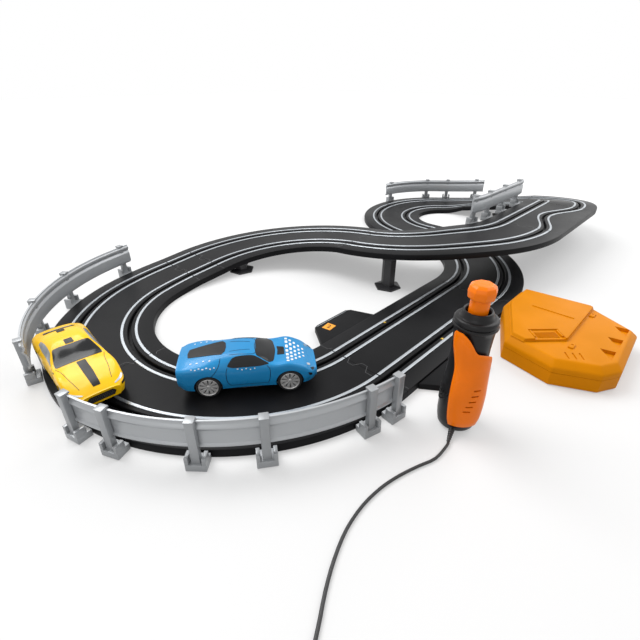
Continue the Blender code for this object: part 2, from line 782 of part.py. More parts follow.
def body_surface(rows):
    """The open body surface from sill to sill, closed at tail and nose."""
    bm = bmesh.new()
    rings = []
    for share, sw, sz, ww, wz, bw, bz, rw, rz, crown in smooth_rows(rows, BODY_STATIONS):
        x = TAIL_X + CAR_LENGTH * share
        half = [(sw, sz), (ww, wz), (bw, bz), (rw, rz)]
        points = half + [(0.0, crown)] + [(-w, z) for w, z in reversed(half)]
        rings.append([
            bm.verts.new((x, w * CAR_WIDTH / 2, z * CAR_HEIGHT)) for w, z in points
        ])
    for low, high in zip(rings, rings[1:]):
        for i in range(len(low) - 1):
            bm.faces.new((low[i], low[i + 1], high[i + 1], high[i]))
    bm.faces.new(reversed(rings[0]))
    bm.faces.new(rings[-1])
    return bm


def add_arch(bm, x, side):
    """A cylinder over one wheel that opens the body's side."""
    radius = WHEEL_RADIUS + ARCH_CLEARANCE
    inner = WHEEL_INNER - 2 * GAP
    turn = Matrix.Rotation(math.pi / 2, 4, "X")
    spot = Matrix.Translation((x, side * (inner + CAR_WIDTH / 2), WHEEL_RADIUS))
    bmesh.ops.create_cone(
        bm, cap_ends=True, segments=20, radius1=radius, radius2=radius, depth=CAR_WIDTH, matrix=spot @ turn
    )


def build_body(name, rows, windows, finish_name, parent):
    """Moulded shell, open below, with wheel arches and window openings."""
    bm = body_surface(rows)
    shell = add_object(name, mesh_from(bm, name), finish_name, parent)
    wall = shell.modifiers.new("wall", "SOLIDIFY")
    wall.thickness = SHELL_WALL
    wall.offset = -1.0
    bm = bmesh.new()
    for x in (REAR_AXLE_X, FRONT_AXLE_X):
        for side in (1, -1):
            add_arch(bm, x, side)
    combine(shell, add_cutter(f"{name}_arches", bm, parent), "DIFFERENCE")
    bm = bmesh.new()
    rear, side, front = windows
    low, high = (CAR_HEIGHT * share for share in SIDE_WINDOW_HEIGHTS)
    x0, x1 = (TAIL_X + CAR_LENGTH * share for share in side)
    lean = (high - low) * 0.6
    outline = ((x0, low), (x1, low), (x1 - lean, high), (x0 + lean / 2, high))
    add_prism(bm, [(x, -CAR_WIDTH, z) for x, z in outline], (0.0, 2 * CAR_WIDTH, 0.0))
    for ends in (rear, front):
        x0, x1 = (TAIL_X + CAR_LENGTH * share for share in ends)
        wide = SCREEN_WIDTH * CAR_WIDTH / 2
        add_box(bm, (x0, -wide, GLASS_LOW * CAR_HEIGHT), (x1, wide, 2 * CAR_HEIGHT))
    combine(shell, add_cutter(f"{name}_windows", bm, parent), "DIFFERENCE")
    low = CHASSIS_CLEARANCE + CHASSIS_PLATE + GAP
    bm = bmesh.new()
    for x in (TAIL_X + REAR_BOSS, FRONT_AXLE_X + FRONT_BOSS):
        share = (x - TAIL_X) / CAR_LENGTH
        crown = np.interp(share, [row[0] for row in rows], [row[-1] for row in rows])
        high = crown * CAR_HEIGHT - SHELL_WALL / 2
        bmesh.ops.create_cone(
            bm, cap_ends=True, segments=10, radius1=BOSS_RADIUS, radius2=BOSS_RADIUS, depth=high - low,
            matrix=Matrix.Translation((x, 0.0, (low + high) / 2))
        )
    combine(shell, add_cutter(f"{name}_bosses", bm, parent), "UNION")


def build_glazing(name, rows, windows, parent):
    """One clear moulding behind all the windows, under the roof."""
    bm = body_surface(rows)
    x0 = TAIL_X + CAR_LENGTH * (windows[0][0] - GLASS_SPAN)
    x1 = TAIL_X + CAR_LENGTH * (windows[2][1] + GLASS_SPAN)
    cuts = (
        ((x0, 0, 0), (-1, 0, 0)),
        ((x1, 0, 0), (1, 0, 0)),
        ((0, 0, GLASS_LOW * CAR_HEIGHT), (0, 0, -1)),
        ((0, GLASS_WIDTH * CAR_WIDTH / 2, 0), (0, 1, 0)),
        ((0, -GLASS_WIDTH * CAR_WIDTH / 2, 0), (0, -1, 0)),
    )
    for place, outward in cuts:
        geometry = bm.verts[:] + bm.edges[:] + bm.faces[:]
        bmesh.ops.bisect_plane(
            bm, geom=geometry, plane_co=place, plane_no=outward, clear_outer=True, dist=0.00001
        )
    glass = add_object(name, mesh_from(bm, name), "tinted_window", parent)
    inset = glass.modifiers.new("behind_shell", "DISPLACE")
    inset.strength = -(SHELL_WALL + GLASS_SET_BACK)
    inset.mid_level = 0.0
    wall = glass.modifiers.new("wall", "SOLIDIFY")
    wall.thickness = GLASS_WALL
    wall.offset = -1.0


def build_chassis(name, parent):
    """Floor plate with wheel cut-outs and notched bearings for both axles."""
    wide = 0.88 * CAR_WIDTH / 2 - SHELL_WALL - 2 * GAP
    slim = WHEEL_INNER - GAP
    clear = WHEEL_RADIUS + ARCH_CLEARANCE
    tail = TAIL_X + 0.02 * CAR_LENGTH
    nose = TAIL_X + 0.93 * CAR_LENGTH
    side = [(tail, slim), (REAR_AXLE_X + clear, slim), (REAR_AXLE_X + clear, wide)]
    side += [(FRONT_AXLE_X - clear, wide), (FRONT_AXLE_X - clear, slim), (nose, slim)]
    outline = side + [(x, -y) for x, y in reversed(side)]
    bm = bmesh.new()
    add_prism(bm, [(x, y, CHASSIS_CLEARANCE) for x, y in outline], (0.0, 0.0, CHASSIS_PLATE))
    chassis = add_object(name, mesh_from(bm, name), "chassis_black", parent)
    notch = AXLE_RADIUS + GAP
    cheek = notch + BEARING_WALL
    root = CHASSIS_CLEARANCE + CHASSIS_PLATE / 2
    top = WHEEL_RADIUS + AXLE_RADIUS
    bm = bmesh.new()
    for axle in (REAR_AXLE_X, FRONT_AXLE_X):
        side = [(cheek, root), (cheek, top), (notch, top), (notch, WHEEL_RADIUS - notch)]
        lug = [(axle + x, z) for x, z in side] + [(axle - x, z) for x, z in reversed(side)]
        for y in (BEARING_Y, -BEARING_Y - BEARING_WALL):
            add_prism(bm, [(x, y, z) for x, z in lug], (0.0, BEARING_WALL, 0.0))
    combine(chassis, add_cutter(f"{name}_bearings", bm, parent), "UNION")
    bay = MOTOR_RADIUS
    bm = bmesh.new()
    add_box(bm, (REAR_AXLE_X - CROWN_RADIUS - 2 * GAP, -bay, 0.0), (MOTOR_END + 2 * GAP, bay, WHEEL_RADIUS))
    combine(chassis, add_cutter(f"{name}_motor_bay", bm, parent), "DIFFERENCE")


def build_wheelset(name, axle_x, parent):
    """An axle with a wheel and tyre at each end, turned about its own axis."""
    tread = WHEEL_RADIUS
    half = [
        (0.0, WHEEL_OUTER - RIM_DISH),
        (RIM_RADIUS - RIM_DISH, WHEEL_OUTER - RIM_DISH),
        (RIM_RADIUS, WHEEL_OUTER),
        (tread - TYRE_EDGE, WHEEL_OUTER),
        (tread, WHEEL_OUTER - TYRE_EDGE),
        (tread, WHEEL_INNER + TYRE_EDGE),
        (tread - TYRE_EDGE, WHEEL_INNER),
        (AXLE_RADIUS, WHEEL_INNER),
    ]
    profile = half + [(radius, -height) for radius, height in reversed(half)]
    place = (axle_x, 0.0, WHEEL_RADIUS)
    turned(name, profile, "tyre_rubber", parent, 12, place, (math.pi / 2, 0.0, 0.0))


def build_gears(prefix, parent):
    """A crown gear on the rear axle, driven by the pinion on the motor's shaft."""
    inner, outer = CROWN_PITCH - PINION_WIDTH / 2, CROWN_RADIUS
    back = CROWN_FACE - CROWN_TOOTH - CROWN_PLATE
    bore = AXLE_RADIUS + GAP
    rings = []
    for i in range(2 * CROWN_TEETH):
        angle = math.pi * i / CROWN_TEETH
        face = CROWN_FACE if i % 2 else CROWN_FACE - CROWN_TOOTH
        section = ((bore, back), (bore, CROWN_FACE - CROWN_TOOTH), (inner, CROWN_FACE - CROWN_TOOTH))
        section += ((inner + GAP, face), (outer, face), (outer, back))
        rings.append([(r * math.cos(angle), y, r * math.sin(angle)) for r, y in section])
    place = (REAR_AXLE_X, 0.0, WHEEL_RADIUS)
    loft(f"{prefix}_crown_gear", rings, "gear_white", parent, around=True, place=place)
    gear_start, gear_end = inner, outer
    shaft_end = gear_end + 4 * GAP + MOTOR_LENGTH / 3
    steps = 2 * PINION_TEETH

    def star(x, tip, root):
        return [
            (
                x,
                (root if i % 2 else tip) * math.cos(math.pi * i / PINION_TEETH),
                (root if i % 2 else tip) * math.sin(math.pi * i / PINION_TEETH),
            )
            for i in range(steps)
        ]

    rings = [star(gear_start, PINION_RADIUS, PINION_ROOT), star(gear_end, PINION_RADIUS, PINION_ROOT)]
    rings += [star(gear_end + GAP, SHAFT_RADIUS, SHAFT_RADIUS), star(shaft_end, SHAFT_RADIUS, SHAFT_RADIUS)]
    loft(f"{prefix}_pinion", rings, "brass", parent, place=place)
    hole = SHAFT_RADIUS + GAP
    profile = (
        (0.0, -MOTOR_LENGTH / 3 - 3 * GAP),
        (hole, -MOTOR_LENGTH / 3 - 3 * GAP),
        (hole, 0.0),
        (MOTOR_RADIUS, 0.0),
        (MOTOR_RADIUS, -MOTOR_LENGTH),
        (0.0, -MOTOR_LENGTH),
    )
    motor_place = (MOTOR_START, 0.0, WHEEL_RADIUS)
    turned(f"{prefix}_motor", profile, "motor_steel", parent, 12, motor_place, (0.0, -math.pi / 2, 0.0))


def build_guide_pin(name, parent):
    """The pin that runs in the slot, flanged under the floor plate."""
    top = CHASSIS_CLEARANCE - GAP
    low = GUIDE_FLOOR_CLEARANCE - SLOT_DEPTH
    profile = (
        (0.0, top),
        (GUIDE_FLANGE, top),
        (GUIDE_FLANGE, top - GUIDE_FLANGE_HEIGHT),
        (GUIDE_RADIUS, top - GUIDE_FLANGE_HEIGHT),
        (GUIDE_RADIUS, low),
        (0.0, low),
    )
    turned(name, profile, "chassis_black", parent, 10, (GUIDE_AHEAD, 0.0, 0.0))


def build_car(prefix, rows, windows, finish_name, side, degrees, parent):
    """A car on the front curve, set so that its guide pin is in its lane's slot."""
    lane_radius = CURVE_RADIUS - side * LANE_OFFSET
    radius = math.sqrt(lane_radius ** 2 - GUIDE_AHEAD ** 2)
    angle = math.radians(degrees)
    place = (
        radius * math.cos(angle),
        CURVE_RADIUS + radius * math.sin(angle),
        DECK_HEIGHT + GAP,
    )
    car = empty(f"{prefix}_car_place", place, angle + math.pi / 2, parent)
    build_body(f"{prefix}_body", rows, windows, finish_name, car)
    build_glazing(f"{prefix}_glazing", rows, windows, car)
    build_chassis(f"{prefix}_chassis", car)
    build_wheelset(f"{prefix}_front_wheelset", FRONT_AXLE_X, car)
    build_wheelset(f"{prefix}_rear_wheelset", REAR_AXLE_X, car)
    build_gears(prefix, car)
    build_guide_pin(f"{prefix}_guide_pin", car)


# Hand controller

# Handle rings from the base up: share of the height, share of the half width and half depth
HANDLE_RINGS = (
    (0.00, 0.76, 0.74),
    (0.03, 0.90, 0.90),
    (0.14, 0.99, 1.00),
    (0.35, 0.98, 1.02),
    (0.56, 0.88, 0.92),
    (0.72, 0.86, 0.90),
    (0.84, 0.90, 0.95),
    (0.90, 0.94, 1.00),
    (0.935, 0.94, 1.00),
    (0.95, 0.86, 0.92),
    (0.955, 0.72, 0.77),
    (1.00, 0.64, 0.685),
)
# Edges of a side cover from the bottom up: share of its height, front edge and rear edge in degrees
# from the front of the handle
COVER_EDGES = (
    (0.00, 66, 139),
    (0.12, 61, 152),
    (0.30, 57, 158),
    (0.58, 56, 160),
    (0.68, 52, 140),
    (0.76, 44, 100),
    (0.88, 28, 76),
    (1.00, 8, 40),
)
COVER_STATIONS = 10
HANDLE_SIDES = 14


def handle_size(height):
    """Half width and half depth of the handle at a height."""
    levels = [row[0] * HANDLE_HEIGHT for row in HANDLE_RINGS]
    widths = [row[1] * HANDLE_WIDTH / 2 for row in HANDLE_RINGS]
    depths = [row[2] * HANDLE_DEPTH / 2 for row in HANDLE_RINGS]
    return np.interp(height, levels, widths), np.interp(height, levels, depths)


def oval(height, width, depth, angles):
    return [(width * math.cos(a), depth * math.sin(a), height) for a in angles]


def build_handle(parent):
    """Housing with a bore in its top for the plunger, and a cover on each side of it."""
    angles = [2 * math.pi * i / HANDLE_SIDES for i in range(HANDLE_SIDES)]
    rings = [
        oval(share * HANDLE_HEIGHT, *handle_size(share * HANDLE_HEIGHT), angles)
        for share, _, _ in HANDLE_RINGS
    ]
    for height in (HANDLE_HEIGHT, HANDLE_HEIGHT - BORE_DEPTH):
        rings.append(oval(height, BORE_RADIUS, BORE_RADIUS, angles))
    loft("handle_housing", rings, "handle_black", parent)
    for name, side in (("left_side_cover", 1), ("right_side_cover", -1)):
        rings = []
        for share, front, rear in smooth_rows(COVER_EDGES, COVER_STATIONS):
            height = COVER_LOW + (COVER_TOP - COVER_LOW) * share
            fan = side * np.radians(np.linspace(front, rear, 6))
            width, depth = handle_size(height)
            inner = oval(height, width + COVER_SEAT, depth + COVER_SEAT, fan)
            outside = COVER_SEAT + COVER_WALL
            outer = oval(height, width + outside, depth + outside, fan[::-1])
            rings.append(inner + outer)
        loft(name, rings, "handle_orange", parent)


STEM_LOW = HANDLE_HEIGHT - STEM_REACH


def build_plunger(parent):
    """Sprung thumb button with its stem in the handle's bore, and the spring under it."""
    neck = HANDLE_HEIGHT + PLUNGER_TRAVEL + 2 * GAP
    top = neck + BUTTON_HEIGHT
    profile = (
        (0.0, top),
        (BUTTON_RADIUS * 0.55, top - BUTTON_HEIGHT * 0.04),
        (BUTTON_RADIUS * 0.9, top - BUTTON_HEIGHT * 0.2),
        (BUTTON_RADIUS, top - BUTTON_HEIGHT * 0.5),
        (BUTTON_RADIUS * 0.94, neck),
        (STEM_RADIUS, neck),
        (STEM_RADIUS, STEM_LOW),
        (0.0, STEM_LOW),
    )
    turned("plunger", profile, "handle_orange", parent, 14)
    low = HANDLE_HEIGHT - BORE_DEPTH + SPRING_WIRE + GAP
    high = STEM_LOW - SPRING_WIRE - GAP
    count = SPRING_TURNS * 8
    points = []
    for i in range(count + 1):
        angle = 2 * math.pi * i / 8
        height = low + (high - low) * i / count
        points.append((SPRING_RADIUS * math.cos(angle), SPRING_RADIUS * math.sin(angle), height))
    tube("plunger_spring", points, SPRING_WIRE, "motor_steel", parent, 0)


def lead_direction():
    angle = math.radians(LEAD_TURN_DEG)
    return Vector((math.cos(angle), math.sin(angle), 0.0))


def lead_start():
    """Distance from the handle's axis at which the strain relief begins."""
    width, depth = handle_size(RELIEF_HEIGHT + RELIEF_RADIUS)
    angle = math.radians(LEAD_TURN_DEG - CONTROLLER_TURN_DEG)
    return 1.0 / math.hypot(math.cos(angle) / width, math.sin(angle) / depth) + GAP


def build_strain_relief(parent):
    """A tapered sleeve that leads the cord out of the handle's base."""
    way = lead_direction()
    across = Vector((-way.y, way.x, 0.0))
    centre = Vector((*CONTROLLER_PLACE, 0.0))
    start = lead_start()
    rings = []
    for share, radius in ((0.0, RELIEF_RADIUS), (0.35, RELIEF_RADIUS), (1.0, CORD_RADIUS * 1.25)):
        height = RELIEF_HEIGHT + (CORD_ROUTE[0][2] + CORD_RADIUS / 2 - RELIEF_HEIGHT) * share
        spot = centre + way * (start + RELIEF_LENGTH * share)
        rings.append([
            spot + across * (radius * math.cos(a)) + Vector((0.0, 0.0, height + radius * math.sin(a)))
            for a in (2 * math.pi * i / 8 for i in range(8))
        ])
    loft("strain_relief", rings, "handle_black", parent)


def coil_points():
    """The stored coil: in on the floor, up a layer, out on top, then a tail down to the plug."""
    heading = math.atan2(CORD_ROUTE[-1][1] - COIL_CENTRE[1], CORD_ROUTE[-1][0] - COIL_CENTRE[0])
    turns_up = 0.5
    total = 2 * COIL_TURNS + turns_up
    count = int(total * COIL_POINTS)
    floor = CORD_ROUTE[-1][2]
    points = []
    for i in range(count + 1):
        turn = total * i / count
        inward = min(turn, COIL_TURNS)
        outward = max(turn - COIL_TURNS - turns_up, 0.0)
        climb = min(max((turn - COIL_TURNS) / turns_up, 0.0), 1.0)
        radius = COIL_OUTER - COIL_PITCH * (inward - outward)
        angle = heading + 2 * math.pi * turn
        height = floor + COIL_PITCH * climb ** 2 * (3 - 2 * climb)
        points.append(Vector((
            COIL_CENTRE[0] + radius * math.cos(angle),
            COIL_CENTRE[1] + radius * math.sin(angle),
            height,
        )))
    way = (points[-1] - points[-2]).normalized()
    side = (points[-1] - Vector((*COIL_CENTRE, points[-1].z))).normalized()
    start = points[-1]
    steps = 8
    drop = Vector((0.0, 0.0, PLUG_RADIUS + GAP - start.z))
    for i in range(1, steps + 1):
        share = i / steps
        out = way * (COIL_TAIL * share) + side * (COIL_TAIL * 0.25 * share ** 2)
        points.append(start + out + drop * share ** 2 * (3 - 2 * share))
    return points


def print_least_gap(points):
    """Print the coil's least gap to itself, measured between points a turn's quarter or more apart."""
    spots = np.array([tuple(point) for point in points])
    away = np.linalg.norm(spots[:, None] - spots[None], axis=2)
    rank = np.arange(len(spots))
    away[np.abs(rank[:, None] - rank[None]) < COIL_POINTS // 4] = np.inf
    print(f"coil: least gap to itself {(away.min() - 2 * CORD_RADIUS) * 1000:.2f} mm")


def build_lead(parent):
    """The controller's lead: its run over the floor, the stored coil and the jack plug."""
    way = lead_direction()
    centre = Vector((*CONTROLLER_PLACE, 0.0))
    exit_at = centre + way * (lead_start() + RELIEF_LENGTH + GAP)
    exit_at.z = CORD_ROUTE[0][2] + CORD_RADIUS / 2
    coil = coil_points()
    entry = (coil[0] - coil[1]).normalized()
    meet = coil[0] + entry * GAP
    route = [exit_at, exit_at + way * (4 * CORD_RADIUS)] + [Vector(point) for point in CORD_ROUTE]
    route += [meet + entry * (6 * CORD_RADIUS), meet]
    run = [Vector(row) for row in smooth_rows([tuple(p) for p in route], CORD_SAMPLES * len(route))]
    tube("controller_cord", run, CORD_RADIUS, "cord_black", parent, 2)
    tube("cord_coil", coil, CORD_RADIUS, "cord_black", parent, 1)
    print_least_gap(coil)
    along = (coil[-1] - coil[-2]).normalized()
    length = PLUG_BODY + PLUG_PIN
    profile = (
        (0.0, length),
        (PLUG_PIN_RADIUS, length - PLUG_PIN_RADIUS),
        (PLUG_PIN_RADIUS, PLUG_BODY),
        (PLUG_RADIUS, PLUG_BODY),
        (PLUG_RADIUS, PLUG_BODY * 0.3),
        (CORD_RADIUS * 1.3, 0.0),
        (0.0, 0.0),
    )
    place = coil[-1] + along * GAP
    turn = (0.0, math.pi / 2, math.atan2(along.y, along.x))
    turned("jack_plug", profile, "cord_black", parent, 10, place, turn)


# Battery box


def box_outline(height, inset):
    """The case's outline at a height, drawn in towards its middle."""
    share = 1.0 - inset / BOX_REACH
    return [(x * share, y * share, height) for x, y in BOX_OUTLINE]


def trim_away(bm, place, outward):
    """Cut a solid with a plane, drop what lies outside and close the cut."""
    geometry = bm.verts[:] + bm.edges[:] + bm.faces[:]
    made = bmesh.ops.bisect_plane(
        bm, geom=geometry, plane_co=place, plane_no=outward, clear_outer=True, dist=0.00001
    )
    edges = [item for item in made["geom_cut"] if isinstance(item, bmesh.types.BMEdge)]
    bmesh.ops.contextual_create(bm, geom=edges)


def build_battery_box(parent):
    """A base and a top that make the case, with a battery bay under a door hinged at the rear."""
    box = empty("battery_box_place", (*BOX_PLACE, 0.0), 0.0, parent)
    rings = [box_outline(0.0, 0.001), box_outline(0.001, 0.0), box_outline(BOX_SPLIT, 0.0)]
    base = loft("battery_box_base", rings, "box_orange", box)
    rings = [box_outline(BOX_SPLIT + GAP, 0.0), box_outline(BOX_HEIGHT - BOX_SHOULDER, 0.0)]
    rings.append(box_outline(BOX_HEIGHT, BOX_SHOULDER))
    top = loft("battery_box_top", rings, "box_orange", box)
    bm = bmesh.new()
    add_box(bm, (*BAY_LOW, BOX_FLOOR), (*BAY_HIGH, 2 * BOX_HEIGHT))
    bay = add_cutter("battery_bay", bm, box)
    combine(base, bay, "DIFFERENCE")
    combine(top, bay, "DIFFERENCE")
    add_nose_details(top, box)
    build_door(box)


def add_nose_details(top, box):
    """Latch tabs at the seam, vent slots and three triangular dimples on the nose half."""
    long, wide, high = LATCH_SIZE
    bm = bmesh.new()
    for x, y in LATCH_PLACES:
        low = (x - long / 2, y - wide / 2, BOX_HEIGHT - VENT_DEPTH)
        add_box(bm, low, (x + long / 2, y + wide / 2, BOX_HEIGHT + high))
    combine(top, add_cutter("latch_tabs", bm, box), "UNION")
    bm = bmesh.new()
    long, wide = VENT_SIZE
    turn = Matrix.Rotation(math.radians(VENT_TURN_DEG), 4, "Z")
    for place in VENT_PLACES:
        spot = Vector((*place, BOX_HEIGHT - VENT_DEPTH))
        corners = ((-long, -wide, 0.0), (long, -wide, 0.0), (long, wide, 0.0), (-long, wide, 0.0))
        add_prism(bm, [spot + turn @ Vector(corner) / 2 for corner in corners], (0.0, 0.0, BOX_HEIGHT))
    long, wide = GILL_SIZE
    for x, y in GILL_PLACES:
        shallow = (x - long / 2, y - wide / 2, BOX_HEIGHT - GILL_DEPTH / 8)
        deep = ((x + long / 2, y - wide / 2), (x + long / 3, y + wide / 2))
        points = [shallow] + [(*corner, BOX_HEIGHT - GILL_DEPTH) for corner in deep]
        add_prism(bm, points, (0.0, 0.0, BOX_HEIGHT))
    combine(top, add_cutter("nose_cuts", bm, box), "DIFFERENCE")


def build_door(box):
    """The door over the rear half, cut off at 45 degrees beside the seam, with a finger recess there."""
    low = BOX_HEIGHT + GAP
    high = low + DOOR_THICKNESS
    hinge = Vector((0.0, box_outline(low, BOX_SHOULDER)[0][1], low))
    bm = bmesh.new()
    add_loft(bm, [box_outline(low, BOX_SHOULDER), box_outline(high, BOX_SHOULDER + DOOR_TAPER)])
    trim_away(bm, (0.0, SEAM_Y, 0.0), (0.0, -1.0, 0.0))
    trim_away(bm, (DOOR_CUT_X, SEAM_Y, 0.0), (-1.0, -1.0, 0.0))
    bmesh.ops.translate(bm, verts=bm.verts[:], vec=-hinge)
    door = add_object("battery_door", mesh_from(bm, "battery_door"), "box_orange", box, hinge)
    bm = bmesh.new()
    middle = (BAY_HIGH[1] + BAY_LOW[1]) / 2
    half = DOOR_RIB_LENGTH / 2
    add_box(
        bm,
        (DOOR_RIB_X - DOOR_RIB_WIDTH / 2, middle - half, high - DOOR_RIB),
        (DOOR_RIB_X + DOOR_RIB_WIDTH / 2, middle + half, high + DOOR_RIB),
    )
    combine(door, add_cutter("door_rib", bm, box), "UNION")
    bm = bmesh.new()
    add_box(
        bm,
        (-RECESS_LENGTH / 2, -RECESS_WIDTH, high - RECESS_DEPTH),
        (RECESS_LENGTH / 2, RECESS_WIDTH, high + RECESS_DEPTH),
    )
    edge = Vector((DOOR_CUT_X, SEAM_Y, 0.0)) + Vector((-1.0, 1.0, 0.0)).normalized() * RECESS_ALONG
    turn = Matrix.Translation(edge) @ Matrix.Rotation(math.radians(-45), 4, "Z")
    bmesh.ops.transform(bm, matrix=turn, verts=bm.verts[:])
    combine(door, add_cutter("door_recess", bm, box), "DIFFERENCE")


def build_set():
    """All the pieces, under one empty that puts the origin under the connection straight."""
    root = empty("track_set_place", (-CONNECTION_LENGTH / 2, 0.0, 0.0))
    build_track(root)
    build_rails(root)
    build_power_base(root)
    build_guard_rails(root)
    build_supports(root)
    build_car("yellow", YELLOW_BODY, YELLOW_WINDOWS, "car_yellow", -1, YELLOW_ANGLE, root)
    build_car("blue", BLUE_BODY, BLUE_WINDOWS, "car_blue", 1, BLUE_ANGLE, root)
    turn = math.radians(CONTROLLER_TURN_DEG)
    controller = empty("controller_place", (*CONTROLLER_PLACE, 0.0), turn, root)
    build_handle(controller)
    build_plunger(controller)
    build_strain_relief(root)
    build_lead(root)
    build_battery_box(root)


build_set()
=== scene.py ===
"""Looks for a two-lane slot car track set with a flyover, two cars, a hand controller and a
battery box, laid out as an add-on in which one operator makes each group of pieces."""

import math
from collections import namedtuple

import bmesh
import bpy
import numpy as np
from bpy.props import FloatProperty, FloatVectorProperty, IntProperty, PointerProperty
from mathutils import Matrix, Vector


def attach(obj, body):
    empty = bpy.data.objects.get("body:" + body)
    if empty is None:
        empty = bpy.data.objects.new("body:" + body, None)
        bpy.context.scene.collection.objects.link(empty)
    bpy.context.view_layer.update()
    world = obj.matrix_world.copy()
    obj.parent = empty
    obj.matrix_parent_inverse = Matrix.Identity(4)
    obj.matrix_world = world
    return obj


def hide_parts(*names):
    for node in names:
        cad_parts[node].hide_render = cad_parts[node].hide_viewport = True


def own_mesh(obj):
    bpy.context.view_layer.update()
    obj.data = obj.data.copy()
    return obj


bl_info = {
    "name": "Slot Car Track Set",
    "version": (1, 0, 0),
    "blender": (4, 5, 0),
    "location": "View3D > Sidebar > Slot Track",
    "description": "Dresses the solids of a slot car track set for a picture",
    "category": "Object",
}

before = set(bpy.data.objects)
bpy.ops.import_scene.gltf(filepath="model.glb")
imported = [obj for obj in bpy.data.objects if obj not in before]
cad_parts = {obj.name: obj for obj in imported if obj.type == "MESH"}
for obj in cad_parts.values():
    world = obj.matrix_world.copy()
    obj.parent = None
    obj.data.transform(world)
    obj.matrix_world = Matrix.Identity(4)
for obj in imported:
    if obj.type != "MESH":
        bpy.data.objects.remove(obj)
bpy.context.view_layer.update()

# A length below 1 is in metres, and from 1 up it is in tenths of a millimetre, which the mesh helpers
# take. Only the stage is all in metres. Shares in the cars' tables are in thousandths.
TENTHS = 10000
THOUSANDTHS = 1000

# Lap, as in the solids
GAP = 0.0003
TRACK_WIDTH = 0.100
DECK_HEIGHT = 0.007
LANE_OFFSET = 0.026
CURVE_RADIUS = 0.154
REAR_RADIUS = 0.103
END_RADIUS = 0.078
CONNECTION_LENGTH = 0.2125
REAR_LEAD = 0.0175
EXIT_LENGTH = 0.0375
RISE_LENGTH = CURVE_RADIUS + REAR_LEAD - END_RADIUS
NARROW_LENGTH = CONNECTION_LENGTH + 2 * REAR_RADIUS - END_RADIUS - CURVE_RADIUS - EXIT_LENGTH
LANE_SWERVE = 0.022
FLYOVER_HEIGHT = 0.050
RAMP_EASE = 0.055
START_POSE = (-CONNECTION_LENGTH / 2, 0.0, 0.0)
FRONT_CENTRE = Vector((-CONNECTION_LENGTH / 2, CURVE_RADIUS, 0.0))
# The left lane's place across the narrow straight
SWERVING_Y = (-0.038, -0.014)

# Cars, as in the solids
CAR_LENGTH = 0.110
CAR_WIDTH = 0.0445
CAR_HEIGHT = 0.034
WHEELBASE = 0.065
WHEEL_RADIUS = 0.010
WHEEL_OUTER = CAR_WIDTH / 2 - 0.0005
WHEEL_INNER = WHEEL_OUTER - 0.008
ARCH_RADIUS = WHEEL_RADIUS + 0.0012
TAIL_X = -WHEELBASE / 2 - 0.023
GUIDE_AHEAD = 0.028
# Side of the track, and degrees round the front curve
CAR_SPOTS = {"yellow": (-1, 177), "blue": (1, 231)}

Run = namedtuple("Run", "length turn")


def bend(radius, degrees, side):
    return Run(radius * math.radians(degrees), side * math.radians(degrees))


LAP = (
    ("connection_straight", (Run(CONNECTION_LENGTH, 0.0),)),
    ("lower_curve", (bend(CURVE_RADIUS, 90, 1),)),
    ("rear_curve_1", (Run(REAR_LEAD, 0.0), bend(REAR_RADIUS, 90, -1))),
    ("rear_curve_2", (bend(REAR_RADIUS, 90, -1),)),
    ("rise_straight", (Run(RISE_LENGTH, 0.0),)),
    ("end_curve", (bend(END_RADIUS, 90, -1),)),
    ("narrow_straight", (Run(NARROW_LENGTH, 0.0),)),
    ("flyover_curve", (bend(CURVE_RADIUS, 90, -1),)),
    ("descent_curve", (bend(CURVE_RADIUS, 90, 1),)),
    ("exit_straight", (Run(EXIT_LENGTH, 0.0),)),
    ("front_curve_1", (bend(CURVE_RADIUS, 90, 1),)),
    ("front_curve_2", (bend(CURVE_RADIUS, 90, 1),)),
)


def walk(pose, run, distance):
    """The (x, y, heading) pose that is a distance along a run."""
    x, y, heading = pose
    if run.turn == 0.0:
        return x + distance * math.cos(heading), y + distance * math.sin(heading), heading
    radius = run.length / run.turn
    after = heading + distance / radius
    return (
        x + radius * (math.sin(after) - math.sin(heading)),
        y - radius * (math.cos(after) - math.cos(heading)),
        after,
    )


def lay_lap():
    """Each run with its start, and each section's start and end, as distances round the lap."""
    pose, distance = START_POSE, 0.0
    runs, spans = [], {}
    for name, parts in LAP:
        begin = distance
        for run in parts:
            runs.append((distance, pose, run))
            pose = walk(pose, run, run.length)
            distance += run.length
        spans[name] = (begin, distance)
    return runs, spans


LAP_RUNS, SPANS = lay_lap()
LAP_LENGTH = SPANS["front_curve_2"][1]
NARROW_BEGIN, NARROW_END = SPANS["narrow_straight"]


def into(section, radius, degrees):
    """Distance round the lap at an angle into a curve."""
    return SPANS[section][0] + radius * math.radians(degrees)


RISE_START = into("rear_curve_2", REAR_RADIUS, 50)
RISE_END = SPANS["end_curve"][1]
FALL_START = into("flyover_curve", CURVE_RADIUS, 30)
FALL_END = into("front_curve_1", CURVE_RADIUS, 20)


def pose_at(distance):
    found = [row for row in LAP_RUNS if distance >= row[0]] or LAP_RUNS[:1]
    begin, pose, run = found[-1]
    return walk(pose, run, distance - begin)


def eased(distance, length):
    """From 0 to 1 along a ramp whose slope grows and fades over its ease length."""
    distance = min(max(distance, 0.0), length)
    slope = 1.0 / (length - RAMP_EASE)
    left = length - distance
    if distance < RAMP_EASE:
        return slope * distance ** 2 / (2 * RAMP_EASE)
    if left < RAMP_EASE:
        return 1.0 - slope * left ** 2 / (2 * RAMP_EASE)
    return slope * (distance - RAMP_EASE / 2)


def level(distance):
    """Height of the track's underside."""
    rise = eased(distance - RISE_START, RISE_END - RISE_START)
    fall = eased(distance - FALL_START, FALL_END - FALL_START)
    return FLYOVER_HEIGHT * (rise - fall)


